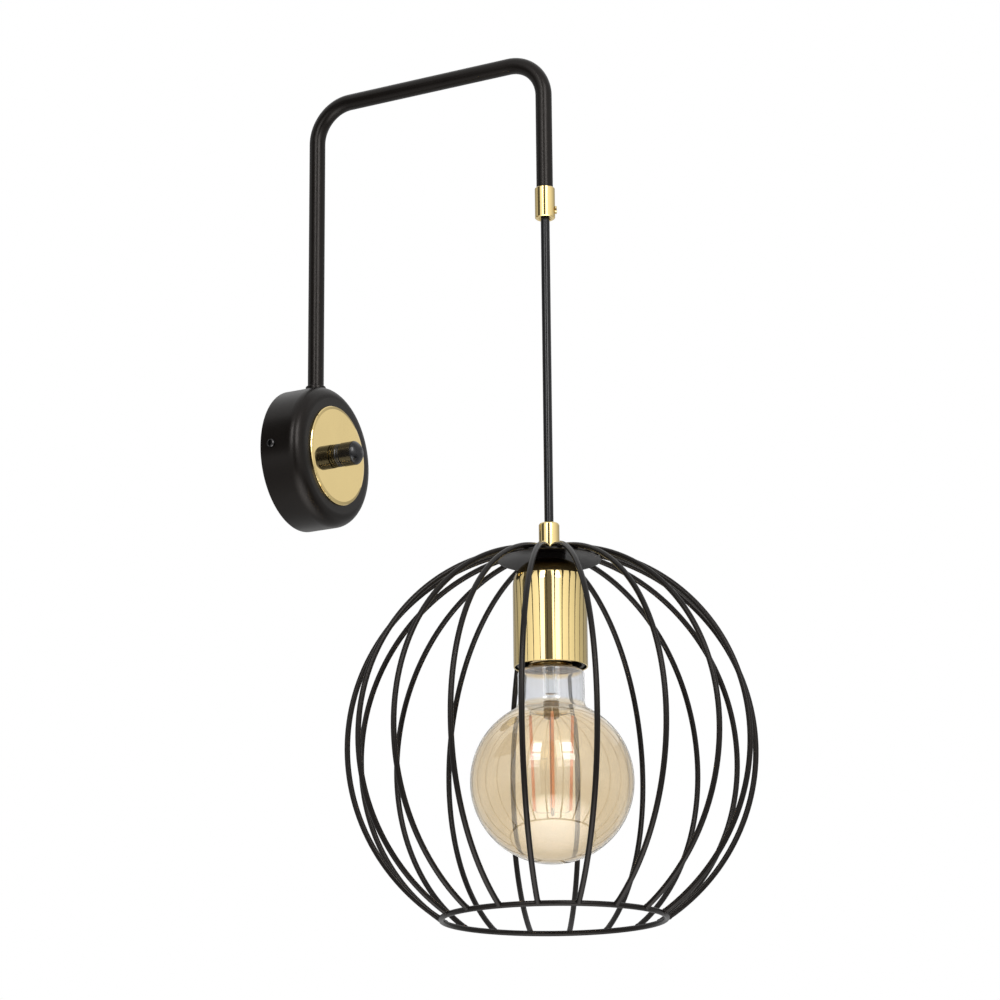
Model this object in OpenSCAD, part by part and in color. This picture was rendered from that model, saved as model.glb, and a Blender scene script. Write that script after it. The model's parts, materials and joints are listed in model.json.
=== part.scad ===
// Cage wall light: a round wall base with a rotary switch, a bent tube arm, and a wire
// cage pendant that hangs on its cable from the arm's end.
// Frame: the wall is the plane Y = 0, the light stands out along -Y, +Z is up, and the
// origin is the centre of the wall base on the wall. The arm lies in the plane X = 0.

/* [Wall base] */
// Outside diameter of the round wall base
base_d = 88; // [80:1:110]
// Depth of the wall base, from the wall to its front face
base_depth = 27.5; // [26:0.5:36]
// Radius of the base's rounded front edge, outside
base_edge_r = 8; // [4:0.5:10]
// Sheet thickness of the wall base
base_wall = 1.2; // [0.8:0.1:2]
// Diameter of the brass disc on the base's front
disc_d = 62; // [44:1:66]
// Thickness of the brass disc
disc_t = 1.5; // [1:0.1:3]
// Height of the two side screws above the wall
side_screw_out = 8; // [6:0.5:12]

/* [Switch] */
// Diameter of the switch knob
knob_d = 14.8; // [13:0.2:16]
// Length of the switch knob
knob_len = 13; // [10:0.5:20]
// Radius of the knob's domed end
knob_dome_r = 8.6; // [8.2:0.1:14]
// Outside diameter of the ring nut that holds the switch and the disc
ring_nut_d = 14.4; // [12.6:0.2:20]
// Height of the ring nut
ring_nut_h = 3.2; // [2:0.2:5]
// Diameter of the switch housing inside the base
switch_d = 23; // [18:1:26]
// Depth of the switch housing inside the base
switch_depth = 13; // [9:0.5:15]
// Diameter of the switch spindle
spindle_d = 6; // [4:0.5:7]

/* [Wall bracket] */
// Sheet thickness of the wall bracket
bracket_t = 1.5; // [1:0.1:2.5]
// Width of the bracket's strap
bracket_w = 16; // [12:1:20]
// Distance between the centres of the two wall screw slots
slot_spacing = 50; // [44:1:56]
// End-to-end length of each wall screw slot
slot_len = 12; // [8:1:14]
// Width of each wall screw slot
slot_w = 4.5; // [4:0.1:5.5]
// Length of the bracket's ears, measured out from the wall
ear_len = 13; // [12:0.5:16]

/* [Arm] */
// Outside diameter of the arm tube
tube_d = 10; // [9:0.5:12]
// Wall thickness of the arm tube
tube_wall = 1; // [0.6:0.1:1.5]
// Distance of the rising tube's axis from the wall
arm_out = 12; // [9:0.5:13]
// Distance between the axes of the rising tube and the falling tube
arm_reach = 163; // [120:1:220]
// Height of the level tube's axis above the base's centre
arm_rise = 232; // [160:1:300]
// Distance from the level tube's axis down to the top of the collar
arm_drop = 84.5; // [60:0.5:120]
// Bend radius of the arm, on the tube's axis
bend_r = 24; // [18:1:35]
// Outside diameter of the flange ring where the tube enters the base
flange_d = 12.6; // [12:0.1:18]
// Height of the flange ring above the base
flange_h = 2.8; // [1.5:0.1:5]
// Outside diameter of the brass collar at the arm's end
collar_d = 12.2; // [11.4:0.1:16]
// Length of the brass collar
collar_len = 19.5; // [16:0.5:30]
// Direction of the collar's clamp screw, turned from straight out of the wall
collar_screw_turn = 25; // [-90:1:90]

/* [Cable] */
// Outside diameter of the round cable
cable_d = 5.4; // [4.5:0.1:6]
// Length of cable in view between the collar and the ferrule
cable_hang = 191; // [120:1:400]

/* [Ferrule and nipple] */
// Outside diameter of the brass ferrule on top of the cage
ferrule_d = 12.2; // [11.4:0.1:16]
// Height of the brass ferrule
ferrule_h = 17.5; // [16:0.5:30]
// Thread diameter of the nipple, the switch neck and the nuts on them
thread_d = 10; // [9:0.5:10]
// Bore of the threaded nipple
nipple_bore_d = 7; // [5:0.5:8]

/* [Cage] */
// Outside diameter of the ball-shaped cage
cage_d = 240; // [220:1:320]
// Diameter of the cage wire
wire_d = 3.3; // [2.5:0.1:4]
// Number of upright wires
wire_count = 18; // [8:1:24]
// Turn of the first upright wire about the cable's axis
wire_turn = 0; // [-20:0.5:20]
// Diameter of the open ring at the bottom, on the wire's axis
ring_d = 129; // [115:1:160]
// Diameter of the domed plate under the wires' upper ends
plate_d = 61; // [40:1:90]
// Sheet thickness of the domed plate
plate_t = 1.2; // [0.8:0.1:2]

/* [Lamp cup and holder] */
// Outside diameter of the brass cup over the lampholder
cup_d = 43.5; // [43:0.5:52]
// Height of the brass cup
cup_h = 64; // [60:1:80]
// Radius of the cup's rounded shoulder
cup_shoulder_r = 9; // [3:0.5:11]
// Sheet thickness of the brass cup
cup_wall = 0.8; // [0.5:0.1:1]
// Diameter of the black spacer between the plate and the cup
spacer_d = 19; // [13:0.5:24]
// Height of the black spacer
spacer_h = 4; // [2:0.5:8]
// Outside diameter of the lampholder
holder_d = 40; // [38:0.5:40.5]
// Wall thickness of the lampholder's housings
holder_wall = 2; // [1.2:0.1:2.2]
// Height of the lampholder's upper housing
holder_cap_h = 17; // [14:0.5:19]
// Inside diameter of the lampholder's screw shell
shell_bore_d = 27; // [26.6:0.1:28]

/* [Bulb] */
// Diameter of the bulb's globe
globe_d = 95; // [80:1:125]
// Diameter of the bulb's glass neck
neck_d = 39; // [30:0.5:40]
// Length of the bulb from its tip contact to the bottom of its globe
bulb_len = 142; // [134:1:180]
// Wall thickness of the glass
glass_wall = 0.8; // [0.5:0.1:1.2]
// Diameter of the bulb's screw cap
cap_d = 26.2; // [25:0.1:26.3]
// Height of the bulb's screw cap, without its insulator
cap_h = 21.5; // [18:0.5:23]
// Depth of the bulb's tip contact inside the cup, from the cup's rim
tip_depth = 27; // [26:0.5:30]
// Number of light strips in the bulb
strip_count = 4; // [2:1:8]
// Length of each light strip
strip_len = 56; // [40:1:58]
// Diameter of each light strip
strip_d = 1.8; // [1:0.1:3]

/* [Hidden] */
$fn = 64;

// Colours
brass = [0.86, 0.71, 0.40];
black_paint = [0.10, 0.10, 0.10];
zinc = [0.72, 0.73, 0.75];
black_plastic = [0.06, 0.06, 0.06];
white_plastic = [0.90, 0.89, 0.85];
lead_blue = [0.16, 0.32, 0.62];
lead_brown = [0.36, 0.22, 0.13];
amber_glass = [0.90, 0.68, 0.34, 0.4];
clear_glass = [0.85, 0.90, 0.90, 0.5];
strip_orange = [0.95, 0.55, 0.25];

// Clearances
fit_gap = 0.05;      // radial gap of a turning or sliding fit, and between touching round faces
weld_gap = 0.05;     // gap at a weld, left so that the solids stay apart
hole_gap = 0.1;      // radial gap of a screw or tube in a plain hole
nest_gap = 0.3;      // gap between a housing and what it holds
over = 1;            // how far a cutting shape runs past the face it cuts
bend_swell = 0.15;   // how much thicker a thin lead is where it bends
lead_clear = 0.2;    // gap between two leads, and between a lead and what it passes

// Screw and nut sizes
m3_r = 1.5;
m3_head_r = 2.75;
m3_head_h = 1.6;
screw_past = 1;      // how far a screw's end stands past the sheet it is screwed into
m4_r = 2;
m4_head_r = 3.5;
m4_head_h = 2.4;
screw_slot_w = 0.7;  // width and depth of the slot in a screw's head
nut_h = 3;           // height of the thin nuts on the arm and the nipple
nut_af = 14;         // width across flats of those nuts

// Wall base
base_r = base_d / 2;
base_in_r = base_r - base_wall;
base_front = base_depth - base_wall;
disc_front = base_depth + disc_t;
thread_r = thread_d / 2;

// Wall bracket: the ears' outer faces just clear the curved wall of the base
ear_x = sqrt(pow(base_in_r, 2) - pow(bracket_w / 2, 2)) - nest_gap / 2;
tongue_w = 24;                       // tongue that carries the terminal block
tongue_room = 7;                     // room between the tongue's end and the base
tongue_end = base_in_r - tongue_room;
earth_x = -10;                       // place of the earth screw along the strap
side_screw_len = base_r - ear_x + bracket_t + screw_past;

// Terminal block
block_w = 25;
block_h = 14;
block_out = 13;
block_room = 5;                      // room between the switch and the block, for the leads
block_top = -(switch_d / 2 + block_room);
block_poles = 3;
block_pitch = 8;
block_fix_x = block_pitch / 2;       // the screw that holds the block passes between two poles
block_fix_z = block_top - 3 * block_h / 4;
block_bore_r = 1.7;                  // holes that the leads go into
block_bore_len = 5;
block_bore_up = 4.5;                 // height of those holes above the bracket
block_front = bracket_t + fit_gap + block_out;
clamp_well = 6;                      // depth of the wells over the wire clamp screws
fixing_well = 5;                     // depth of the well over the screw that holds the block
clamp_r = 2.1;
clamp_h = 3.5;

// Switch, measured out from the wall
switch_back = base_front - switch_depth;
ring_nut_front = disc_front + ring_nut_h;
knob_back = ring_nut_front + nest_gap;
knob_front = knob_back + knob_len;
spindle_back_wall = 3;               // thickness of the switch behind its spindle
spindle_in_knob = 6;
spindle_back = switch_back + spindle_back_wall;
spindle_front = knob_back + spindle_in_knob;

// Arm
tube_r = tube_d / 2;
pendant_out = arm_out + arm_reach;
tube_in_base = 9;                    // how far the tube reaches inside the base
tube_bottom = base_in_r - tube_in_base;
collar_r = collar_d / 2;
collar_top = arm_rise - arm_drop;
collar_bottom = collar_top - collar_len;
tube_seat = 8;                       // how far the tube goes into the collar
tube_end = collar_top - tube_seat;
collar_chamfer = 0.5;
collar_mouth = 1.2;                  // widening of the collar's mouth, so that the cable can swing
clamp_screw_up = 5.4;                // height of the clamp screw above the collar's mouth
clamp_head_r = 2.4;
clamp_head_h = 1;
nut_r = nut_af / 2 / cos(30);
nut_top = sqrt(pow(base_in_r, 2) - pow(nut_r, 2)) - fit_gap;

// Cable: it bends at the collar's mouth, about the centre of the ball there
cable_r = cable_d / 2;
cable_tail = 3;                      // cable past the tube's end, inside the base

// Pendant, from the ferrule down
ferrule_r = ferrule_d / 2;
ferrule_top = collar_bottom - cable_hang;
plate_top = ferrule_top - ferrule_h;
nipple_up = 8;                       // how far the nipple goes up into the ferrule
ferrule_screw_up = ferrule_h / 2 + 3.5;
ferrule_round_r = 1.4;
cable_end = plate_top + nipple_up + fit_gap;
wire_r = wire_d / 2;
wire_axis_r = cage_d / 2 - wire_r;
plate_out_r = wire_axis_r - wire_r - weld_gap;
plate_in_r = plate_out_r - plate_t;
cage_z = plate_top - plate_out_r;
wire_side_gap = 0.2;                 // gap between neighbouring wires at their upper ends
ferrule_room = 1.2;                  // gap between the ferrule and the wires' upper ends
wire_start_r = max(ferrule_r + wire_r + ferrule_room,
    wire_count * (wire_d + wire_side_gap) / (2 * PI));
wire_top_angle = acos(wire_start_r / wire_axis_r);
ring_r = ring_d / 2;
ring_angle = -acos(ring_r / wire_axis_r);
ring_z = wire_axis_r * sin(ring_angle);
wire_end_angle = ring_angle + (wire_r + weld_gap) / wire_axis_r * 180 / PI;

// Lamp cup and lampholder
cup_r = cup_d / 2;
spacer_top = cage_z + plate_in_r - sagitta(spacer_d / 2, plate_in_r);
cup_top = cage_z + plate_in_r - spacer_h;
cup_rim = cup_top - cup_h;
cup_in_top = cup_top - cup_wall;
holder_r = holder_d / 2;
holder_top = cup_in_top - nut_h - fit_gap;
holder_split = holder_top - holder_cap_h;
holder_lip = 1;                      // how far the cup's rim reaches below the lampholder
holder_bottom = cup_rim + holder_lip;
nipple_in_holder = 6;
nipple_bottom = holder_top - nipple_in_holder;
holder_neck_r = thread_r + 2.5;
holder_crown_r = 6;                  // radius of the upper housing's rounded edge
insert_up = 4;                       // how far the insert reaches into the upper housing
insert_in_r = holder_r - 1.5 * holder_wall - nest_gap;
terminal_x = 8;                      // place of the two terminals on the insert
terminal_y = 6;
terminal_screw_len = 6;
shell_up = 3;                        // height of the screw shell's edge above the lampholder's

// Bulb
globe_r = globe_d / 2;
neck_r = neck_d / 2;
cap_r = cap_d / 2;
bulb_tip_z = cup_rim + tip_depth;
tip_r = 4.6;
tip_h = 1.8;
insulator_h = 3;
insulator_top_r = 5.2;
insulator_low_r = 11.4;
cap_top = bulb_tip_z - tip_h - insulator_h;
cap_low = cap_top - cap_h;
globe_z = bulb_tip_z - bulb_len + globe_r;
neck_in_cap = 6;
neck_top_r = cap_r - 2.3;
neck_shoulder_h = 4;
contact_gap = 3.4;                   // room for the spring tongue between insert and bulb
insert_bottom = bulb_tip_z + contact_gap;
insert_top = holder_split + insert_up;
shell_r = shell_bore_d / 2;
shell_wall = 0.5;
shell_low = holder_bottom + shell_up;
contact_t = 0.4;
strip_top_r = 12.3;                  // distance of the strips' ends from the bulb's axis
strip_low_r = 10.5;
strip_turn = 30;
stem_in_globe = 1;                   // how far the stem reaches into the globe
stem_r = 4;
strip_drop = 7.5;                    // gap between the stem's end and the strips
stem_low = globe_z + globe_r - stem_in_globe;
strip_top = stem_low - strip_drop;
strip_tilt = asin((strip_low_r - strip_top_r) / strip_len);
strip_low = strip_top - strip_len * cos(strip_tilt);

// Depth of a sphere's cap of radius big over a chord of half-width r
function sagitta(r, big) = big - sqrt(big * big - r * r);

// Local +Z becomes -Y: straight out from the wall
module out_from_wall() { rotate([90, 0, 0]) children(); }

// Everything that hangs is placed about the cable's axis
module at_pendant(z = 0) { translate([0, -pendant_out, z]) children(); }

// Ring-shaped solid
module tube_piece(outer, inner, h) {
    difference() {
        cylinder(r = outer, h = h);
        translate([0, 0, -over]) cylinder(r = inner, h = h + 2 * over);
    }
}

// Straight round rod between two points
module rod(a, b, r) {
    run = b - a;
    run_len = norm(run);
    translate(a) rotate([0, acos(run[2] / run_len), atan2(run[1], run[0])])
        cylinder(r = r, h = run_len);
}

// Wire through a list of points, a little thicker where it bends
module lead_route(points, r) {
    for (i = [0 : len(points) - 2]) rod(points[i], points[i + 1], r);
    for (i = [1 : len(points) - 2]) translate(points[i]) sphere(r = r + bend_swell);
}

// Round screw head with a slot, or a screw without a head
module slotted_head(r, h) {
    difference() {
        cylinder(r = r, h = h);
        translate([-r - over, -screw_slot_w / 2, h - screw_slot_w])
            cube([2 * (r + over), screw_slot_w, screw_slot_w + over]);
    }
}

// Slotted screw along +Z, its head on the plane Z = 0 and its shank below
module slotted_screw(shank_r, shank_len, head_r, head_h) {
    slotted_head(head_r, head_h);
    translate([0, 0, -shank_len]) cylinder(r = shank_r, h = shank_len);
}

// Thin hexagonal nut on a thread or tube of radius bore_r
module thin_nut(bore_r) {
    difference() {
        cylinder(r = nut_r, h = nut_h, $fn = 6);
        translate([0, 0, -over]) cylinder(r = bore_r + fit_gap, h = nut_h + 2 * over);
    }
}

// Round solid with a rounded far edge
module rounded_puck(r, h, edge_r) {
    cylinder(r = r, h = h - edge_r);
    cylinder(r = r - edge_r, h = h);
    translate([0, 0, h - edge_r]) rotate_extrude() translate([r - edge_r, 0]) circle(r = edge_r);
}

// Solid run of the arm's route, from z_start beside the wall to z_end over the pendant
module arm_run(r, z_start, z_end) {
    bend_z = arm_rise - bend_r;
    translate([0, -arm_out, z_start]) cylinder(r = r, h = bend_z - z_start);
    translate([0, -arm_out - bend_r, bend_z]) rotate([90, 0, 90])
        rotate_extrude(angle = 90) translate([bend_r, 0]) circle(r = r);
    translate([0, -arm_out - bend_r, arm_rise]) out_from_wall()
        cylinder(r = r, h = arm_reach - 2 * bend_r);
    translate([0, -pendant_out + bend_r, bend_z]) rotate([90, 0, 90]) rotate([0, 0, 90])
        rotate_extrude(angle = 90) translate([bend_r, 0]) circle(r = r);
    at_pendant(z_end) cylinder(r = r, h = bend_z - z_end);
}

// ---- Wall base ----

module wall_bracket() {
    color(zinc) difference() {
        union() {
            translate([-ear_x, -bracket_t, -bracket_w / 2])
                cube([2 * ear_x, bracket_t, bracket_w]);
            for (side = [-1, 1])
                translate([side * (ear_x - bracket_t / 2) - bracket_t / 2, -ear_len, -bracket_w / 2])
                    cube([bracket_t, ear_len, bracket_w]);
            translate([-tongue_w / 2, -bracket_t, -tongue_end])
                cube([tongue_w, bracket_t, tongue_end]);
        }
        for (side = [-1, 1]) translate([side * slot_spacing / 2, over, 0]) out_from_wall() {
            for (end = [-1, 1]) translate([end * (slot_len - slot_w) / 2, 0, 0])
                cylinder(d = slot_w, h = bracket_t + 2 * over);
            translate([-(slot_len - slot_w) / 2, -slot_w / 2, 0])
                cube([slot_len - slot_w, slot_w, bracket_t + 2 * over]);
        }
        for (side = [-1, 1]) translate([side * (ear_x - bracket_t - over), -side_screw_out, 0])
            rotate([0, side * 90, 0]) cylinder(r = m3_r + fit_gap, h = bracket_t + 2 * over);
        translate([earth_x, over, 0]) out_from_wall()
            cylinder(r = m4_r + fit_gap, h = bracket_t + 2 * over);
        translate([block_fix_x, over, block_fix_z]) out_from_wall()
            cylinder(r = m3_r + fit_gap, h = bracket_t + 2 * over);
    }
}

module base_shell() {
    color(black_paint) difference() {
        out_from_wall() difference() {
            rounded_puck(base_r, base_depth, base_edge_r);
            translate([0, 0, -over])
                rounded_puck(base_in_r, base_front + over, base_edge_r - base_wall);
            cylinder(r = thread_r + hole_gap, h = base_depth + over);
        }
        translate([0, -arm_out, 0]) cylinder(r = tube_r + hole_gap, h = base_r + over);
        for (side = [-1, 1]) translate([0, -side_screw_out, 0]) rotate([0, side * 90, 0])
            cylinder(r = m3_r + hole_gap, h = base_r + over);
    }
}

module side_screws() {
    color(black_paint) for (side = [-1, 1])
        translate([side * (base_r + fit_gap), -side_screw_out, 0]) rotate([0, side * 90, 0])
            slotted_screw(m3_r, side_screw_len, m3_head_r, m3_head_h);
}

module earth_screw() {
    color(brass) translate([earth_x, -bracket_t - fit_gap, 0]) out_from_wall()
        slotted_screw(m4_r, bracket_t, m4_head_r, m4_head_h);
}

// Place of each terminal across the block
function pole_x(pole) = (pole - (block_poles - 1) / 2) * block_pitch;

module terminal_block() {
    clamp_z = block_top - block_h / 4;
    color(white_plastic) difference() {
        translate([-block_w / 2, -block_front, block_top - block_h])
            cube([block_w, block_out, block_h]);
        for (pole = [0 : block_poles - 1]) {
            for (end = [0, 1])
                translate([pole_x(pole), -bracket_t - fit_gap - block_bore_up,
                    block_top - end * block_h - block_bore_len])
                    cylinder(r = block_bore_r, h = 2 * block_bore_len);
            translate([pole_x(pole), clamp_well - block_front, clamp_z]) out_from_wall()
                cylinder(r = clamp_r + hole_gap, h = clamp_well + over);
        }
        translate([block_fix_x, over, block_fix_z]) out_from_wall()
            cylinder(r = m3_r + hole_gap, h = block_front + over);
        translate([block_fix_x, fixing_well - block_front, block_fix_z]) out_from_wall()
            cylinder(r = m3_head_r + hole_gap, h = fixing_well + over);
    }
}

module terminal_screws() {
    clamp_z = block_top - block_h / 4;
    color(zinc) for (pole = [0 : block_poles - 1])
        translate([pole_x(pole), clamp_well - block_front - fit_gap, clamp_z])
            out_from_wall() slotted_head(clamp_r, clamp_h);
}

module block_screw() {
    seat = block_front - fixing_well + fit_gap;
    color(zinc) translate([block_fix_x, -seat, block_fix_z])
        out_from_wall() slotted_screw(m3_r, seat, m3_head_r, m3_head_h);
}

module brass_disc() {
    edge = 0.4;
    color(brass) translate([0, -base_depth, 0]) out_from_wall() difference() {
        union() {
            cylinder(r = disc_d / 2, h = disc_t - edge);
            translate([0, 0, disc_t - edge])
                cylinder(r1 = disc_d / 2, r2 = disc_d / 2 - edge, h = edge);
        }
        translate([0, 0, -over]) cylinder(r = thread_r + hole_gap, h = disc_t + 2 * over);
    }
}

// ---- Switch ----

module ring_nut() {
    groove = 0.5;
    color(black_plastic) translate([0, -disc_front, 0]) out_from_wall() difference() {
        cylinder(d = ring_nut_d, h = ring_nut_h);
        translate([0, 0, -over]) cylinder(r = thread_r + fit_gap, h = ring_nut_h + 2 * over);
        translate([0, 0, ring_nut_h / 2]) rotate_extrude() translate([ring_nut_d / 2, 0])
            circle(r = groove);
    }
}

module switch_body() {
    color(black_plastic) out_from_wall() difference() {
        union() {
            translate([0, 0, switch_back]) cylinder(d = switch_d, h = switch_depth - fit_gap);
            translate([0, 0, switch_back]) cylinder(r = thread_r, h = ring_nut_front - switch_back);
        }
        translate([0, 0, spindle_back - fit_gap])
            cylinder(r = spindle_d / 2 + fit_gap, h = ring_nut_front);
    }
}

module switch_spindle() {
    color(zinc) out_from_wall() translate([0, 0, spindle_back])
        cylinder(d = spindle_d, h = spindle_front - spindle_back);
}

// The knob's side runs straight up to its domed end
module switch_knob() {
    color(black_plastic) out_from_wall() translate([0, 0, knob_back]) difference() {
        intersection() {
            cylinder(d = knob_d, h = knob_len);
            translate([0, 0, knob_len - knob_dome_r]) {
                sphere(r = knob_dome_r);
                translate([0, 0, -knob_len]) cylinder(r = knob_dome_r + over, h = knob_len);
            }
        }
        translate([0, 0, -over])
            cylinder(r = spindle_d / 2 + fit_gap, h = spindle_in_knob + fit_gap + over);
    }
}

// ---- Leads inside the base ----

// From the cable's end, round the switch and into the terminal block
module base_leads() {
    lead_r = 1.2;
    half_pair = lead_r + lead_clear;
    side_x = switch_d / 2 + 3.5;
    side_y = -arm_out + 2;
    cable_z = tube_bottom - cable_tail - fit_gap;
    block_y = -bracket_t - fit_gap - block_bore_up;
    for (way = [-1, 1]) color(way < 0 ? lead_brown : lead_blue)
        lead_route([[way * half_pair, -arm_out, cable_z], [way * half_pair, -arm_out, cable_z - 3],
            [way * side_x, side_y, switch_d / 2], [way * side_x, side_y, -switch_d / 3],
            [way * block_pitch, block_y, block_top + block_room / 2],
            [way * block_pitch, block_y, block_top - block_bore_len / 2]], lead_r);
}

// ---- Arm ----

module arm_tube() {
    color(black_paint) difference() {
        arm_run(tube_r, tube_bottom, tube_end);
        arm_run(tube_r - tube_wall, tube_bottom - over, tube_end - over);
    }
}

module arm_flange() {
    color(black_paint) difference() {
        translate([0, -arm_out, base_r - over])
            tube_piece(flange_d / 2, tube_r + fit_gap, over + flange_h);
        out_from_wall() cylinder(r = base_r + fit_gap, h = arm_out + flange_d);
    }
}

module arm_nut() {
    color(zinc) translate([0, -arm_out, nut_top - nut_h]) thin_nut(tube_r);
}

// The cable lies in the tube and ends above the ball that it bends about
module arm_cable() {
    color(black_plastic)
        arm_run(cable_r, tube_bottom - cable_tail, collar_bottom + cable_r + fit_gap);
}

module arm_collar() {
    color(brass) at_pendant(collar_bottom) difference() {
        union() {
            cylinder(r1 = collar_r - collar_chamfer, r2 = collar_r, h = collar_chamfer);
            translate([0, 0, collar_chamfer])
                cylinder(r = collar_r, h = collar_len - 2 * collar_chamfer);
            translate([0, 0, collar_len - collar_chamfer])
                cylinder(r1 = collar_r, r2 = collar_r - collar_chamfer, h = collar_chamfer);
        }
        translate([0, 0, -over]) cylinder(r = cable_r + hole_gap, h = collar_len);
        translate([0, 0, -over]) cylinder(r1 = cable_r + hole_gap + collar_mouth + over,
            r2 = cable_r + hole_gap, h = collar_mouth + over);
        translate([0, 0, collar_len - tube_seat - fit_gap])
            cylinder(r = tube_r + fit_gap, h = tube_seat + over);
        translate([0, 0, clamp_screw_up]) rotate([0, 0, collar_screw_turn]) out_from_wall()
            cylinder(r = m3_r + fit_gap, h = collar_r + over);
    }
}

module clamp_screw(sleeve_r) {
    start = cable_r + hole_gap;
    out_from_wall() translate([0, 0, sleeve_r])
        slotted_screw(m3_r, sleeve_r - start, clamp_head_r, clamp_head_h);
}

module collar_screw() {
    color(brass) at_pendant(collar_bottom + clamp_screw_up) rotate([0, 0, collar_screw_turn])
        clamp_screw(collar_r);
}

// ---- Pendant ----

// The short stretch of cable that bends as the pendant swings
module cable_bend() {
    color(black_plastic) at_pendant(collar_bottom) sphere(r = cable_r);
}

module pendant_cable() {
    color(black_plastic) at_pendant() difference() {
        translate([0, 0, cable_end]) cylinder(r = cable_r, h = collar_bottom - cable_end);
        translate([0, 0, collar_bottom]) sphere(r = cable_r + fit_gap);
    }
}

module ferrule() {
    color(brass) at_pendant(plate_top) difference() {
        rounded_puck(ferrule_r, ferrule_h, ferrule_round_r);
        translate([0, 0, -over]) cylinder(r = cable_r + fit_gap, h = ferrule_h + 2 * over);
        translate([0, 0, -over]) cylinder(r = thread_r + fit_gap, h = nipple_up + over);
        translate([0, 0, ferrule_screw_up]) rotate([0, 0, 90]) out_from_wall()
            cylinder(r = m3_r + fit_gap, h = ferrule_r + over);
    }
}

module ferrule_screw() {
    color(brass) at_pendant(plate_top + ferrule_screw_up) rotate([0, 0, 90])
        clamp_screw(ferrule_r);
}

module threaded_nipple() {
    color(zinc) at_pendant(nipple_bottom)
        tube_piece(thread_r, nipple_bore_d / 2, plate_top + nipple_up - nipple_bottom);
}

module cage_plate() {
    color(black_paint) at_pendant(cage_z) difference() {
        intersection() {
            sphere(r = plate_out_r, $fn = 128);
            cylinder(d = plate_d, h = cage_d);
        }
        sphere(r = plate_in_r, $fn = 128);
        cylinder(r = thread_r + hole_gap, h = cage_d);
    }
}

module cage_wires() {
    color(black_paint) at_pendant(cage_z) for (i = [0 : wire_count - 1])
        rotate([0, 0, wire_turn + i * 360 / wire_count]) rotate([90, 0, 0])
            rotate([0, 0, wire_end_angle])
                rotate_extrude(angle = wire_top_angle - wire_end_angle, $fn = 96)
                    translate([wire_axis_r, 0]) circle(r = wire_r, $fn = 32);
}

module cage_ring() {
    color(black_paint) at_pendant(cage_z + ring_z)
        rotate_extrude($fn = 96) translate([ring_r, 0]) circle(r = wire_r, $fn = 32);
}

module plate_spacer() {
    color(black_paint) at_pendant() difference() {
        translate([0, 0, cup_top]) cylinder(d = spacer_d, h = spacer_top - cup_top - fit_gap);
        translate([0, 0, cup_top - over]) cylinder(r = thread_r + hole_gap, h = spacer_h + 2 * over);
    }
}

module lamp_cup() {
    color(brass) at_pendant(cup_rim) difference() {
        rounded_puck(cup_r, cup_h, cup_shoulder_r);
        translate([0, 0, -over])
            rounded_puck(cup_r - cup_wall, cup_h - cup_wall + over, cup_shoulder_r - cup_wall);
        cylinder(r = thread_r + hole_gap, h = cup_h + over);
    }
}

module cup_nut() {
    color(zinc) at_pendant(holder_top + fit_gap) thin_nut(thread_r);
}

// ---- Lampholder ----

module holder_cap() {
    color(black_plastic) at_pendant(holder_split) difference() {
        rounded_puck(holder_r - holder_wall / 2, holder_cap_h, holder_crown_r);
        difference() {
            translate([0, 0, -over]) rounded_puck(holder_r - 1.5 * holder_wall,
                holder_cap_h - holder_wall + over, holder_crown_r - holder_wall);
            translate([0, 0, holder_cap_h - nipple_in_holder])
                cylinder(r = holder_neck_r, h = holder_cap_h);
        }
        cylinder(r = thread_r + fit_gap, h = holder_cap_h + over);
    }
}

module holder_body() {
    color(black_plastic) at_pendant(holder_bottom)
        tube_piece(holder_r, holder_r - holder_wall, holder_split - holder_bottom - fit_gap);
}

// Moulding that carries the contacts, with two holes for the leads and two for the screws
module holder_insert() {
    channel_r = 1.6;
    rim_h = holder_split - insert_bottom - nest_gap;
    screw_hole_low = insert_top - insert_bottom - terminal_screw_len - over;
    color(white_plastic) at_pendant(insert_bottom) difference() {
        union() {
            cylinder(r = holder_r - holder_wall - hole_gap, h = rim_h);
            cylinder(r = insert_in_r, h = insert_top - insert_bottom);
        }
        for (side = [-1, 1]) {
            translate([side * terminal_x, 0, -over])
                cylinder(r = channel_r, h = insert_top - insert_bottom + 2 * over);
            translate([side * terminal_x, terminal_y, screw_hole_low])
                cylinder(r = m3_r + fit_gap, h = terminal_screw_len + 2 * over);
        }
    }
}

module screw_shell() {
    color(brass) at_pendant(shell_low)
        tube_piece(shell_r + shell_wall, shell_r, insert_bottom - shell_low);
}

// Spring tongue on the insert's underside, bent down to the bulb's tip
module centre_contact() {
    tongue_w = 5;
    tongue_from = -8;
    tongue_bend = -3.4;
    tongue_to = 4.6;
    color(brass) at_pendant(insert_bottom) translate([0, -tongue_w / 2, 0]) {
        translate([tongue_from, 0, -contact_t - fit_gap])
            cube([tongue_bend - tongue_from, tongue_w, contact_t]);
        translate([tongue_bend, 0, fit_gap - contact_gap])
            cube([contact_t, tongue_w, contact_gap - 2 * fit_gap]);
        translate([tongue_bend, 0, fit_gap - contact_gap])
            cube([tongue_to - tongue_bend, tongue_w, contact_t]);
    }
}

module contact_screws() {
    color(zinc) for (side = [-1, 1])
        at_pendant(insert_top + fit_gap) translate([side * terminal_x, terminal_y, 0])
            slotted_screw(m3_r, terminal_screw_len, m3_head_r, m3_head_h);
}

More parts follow.
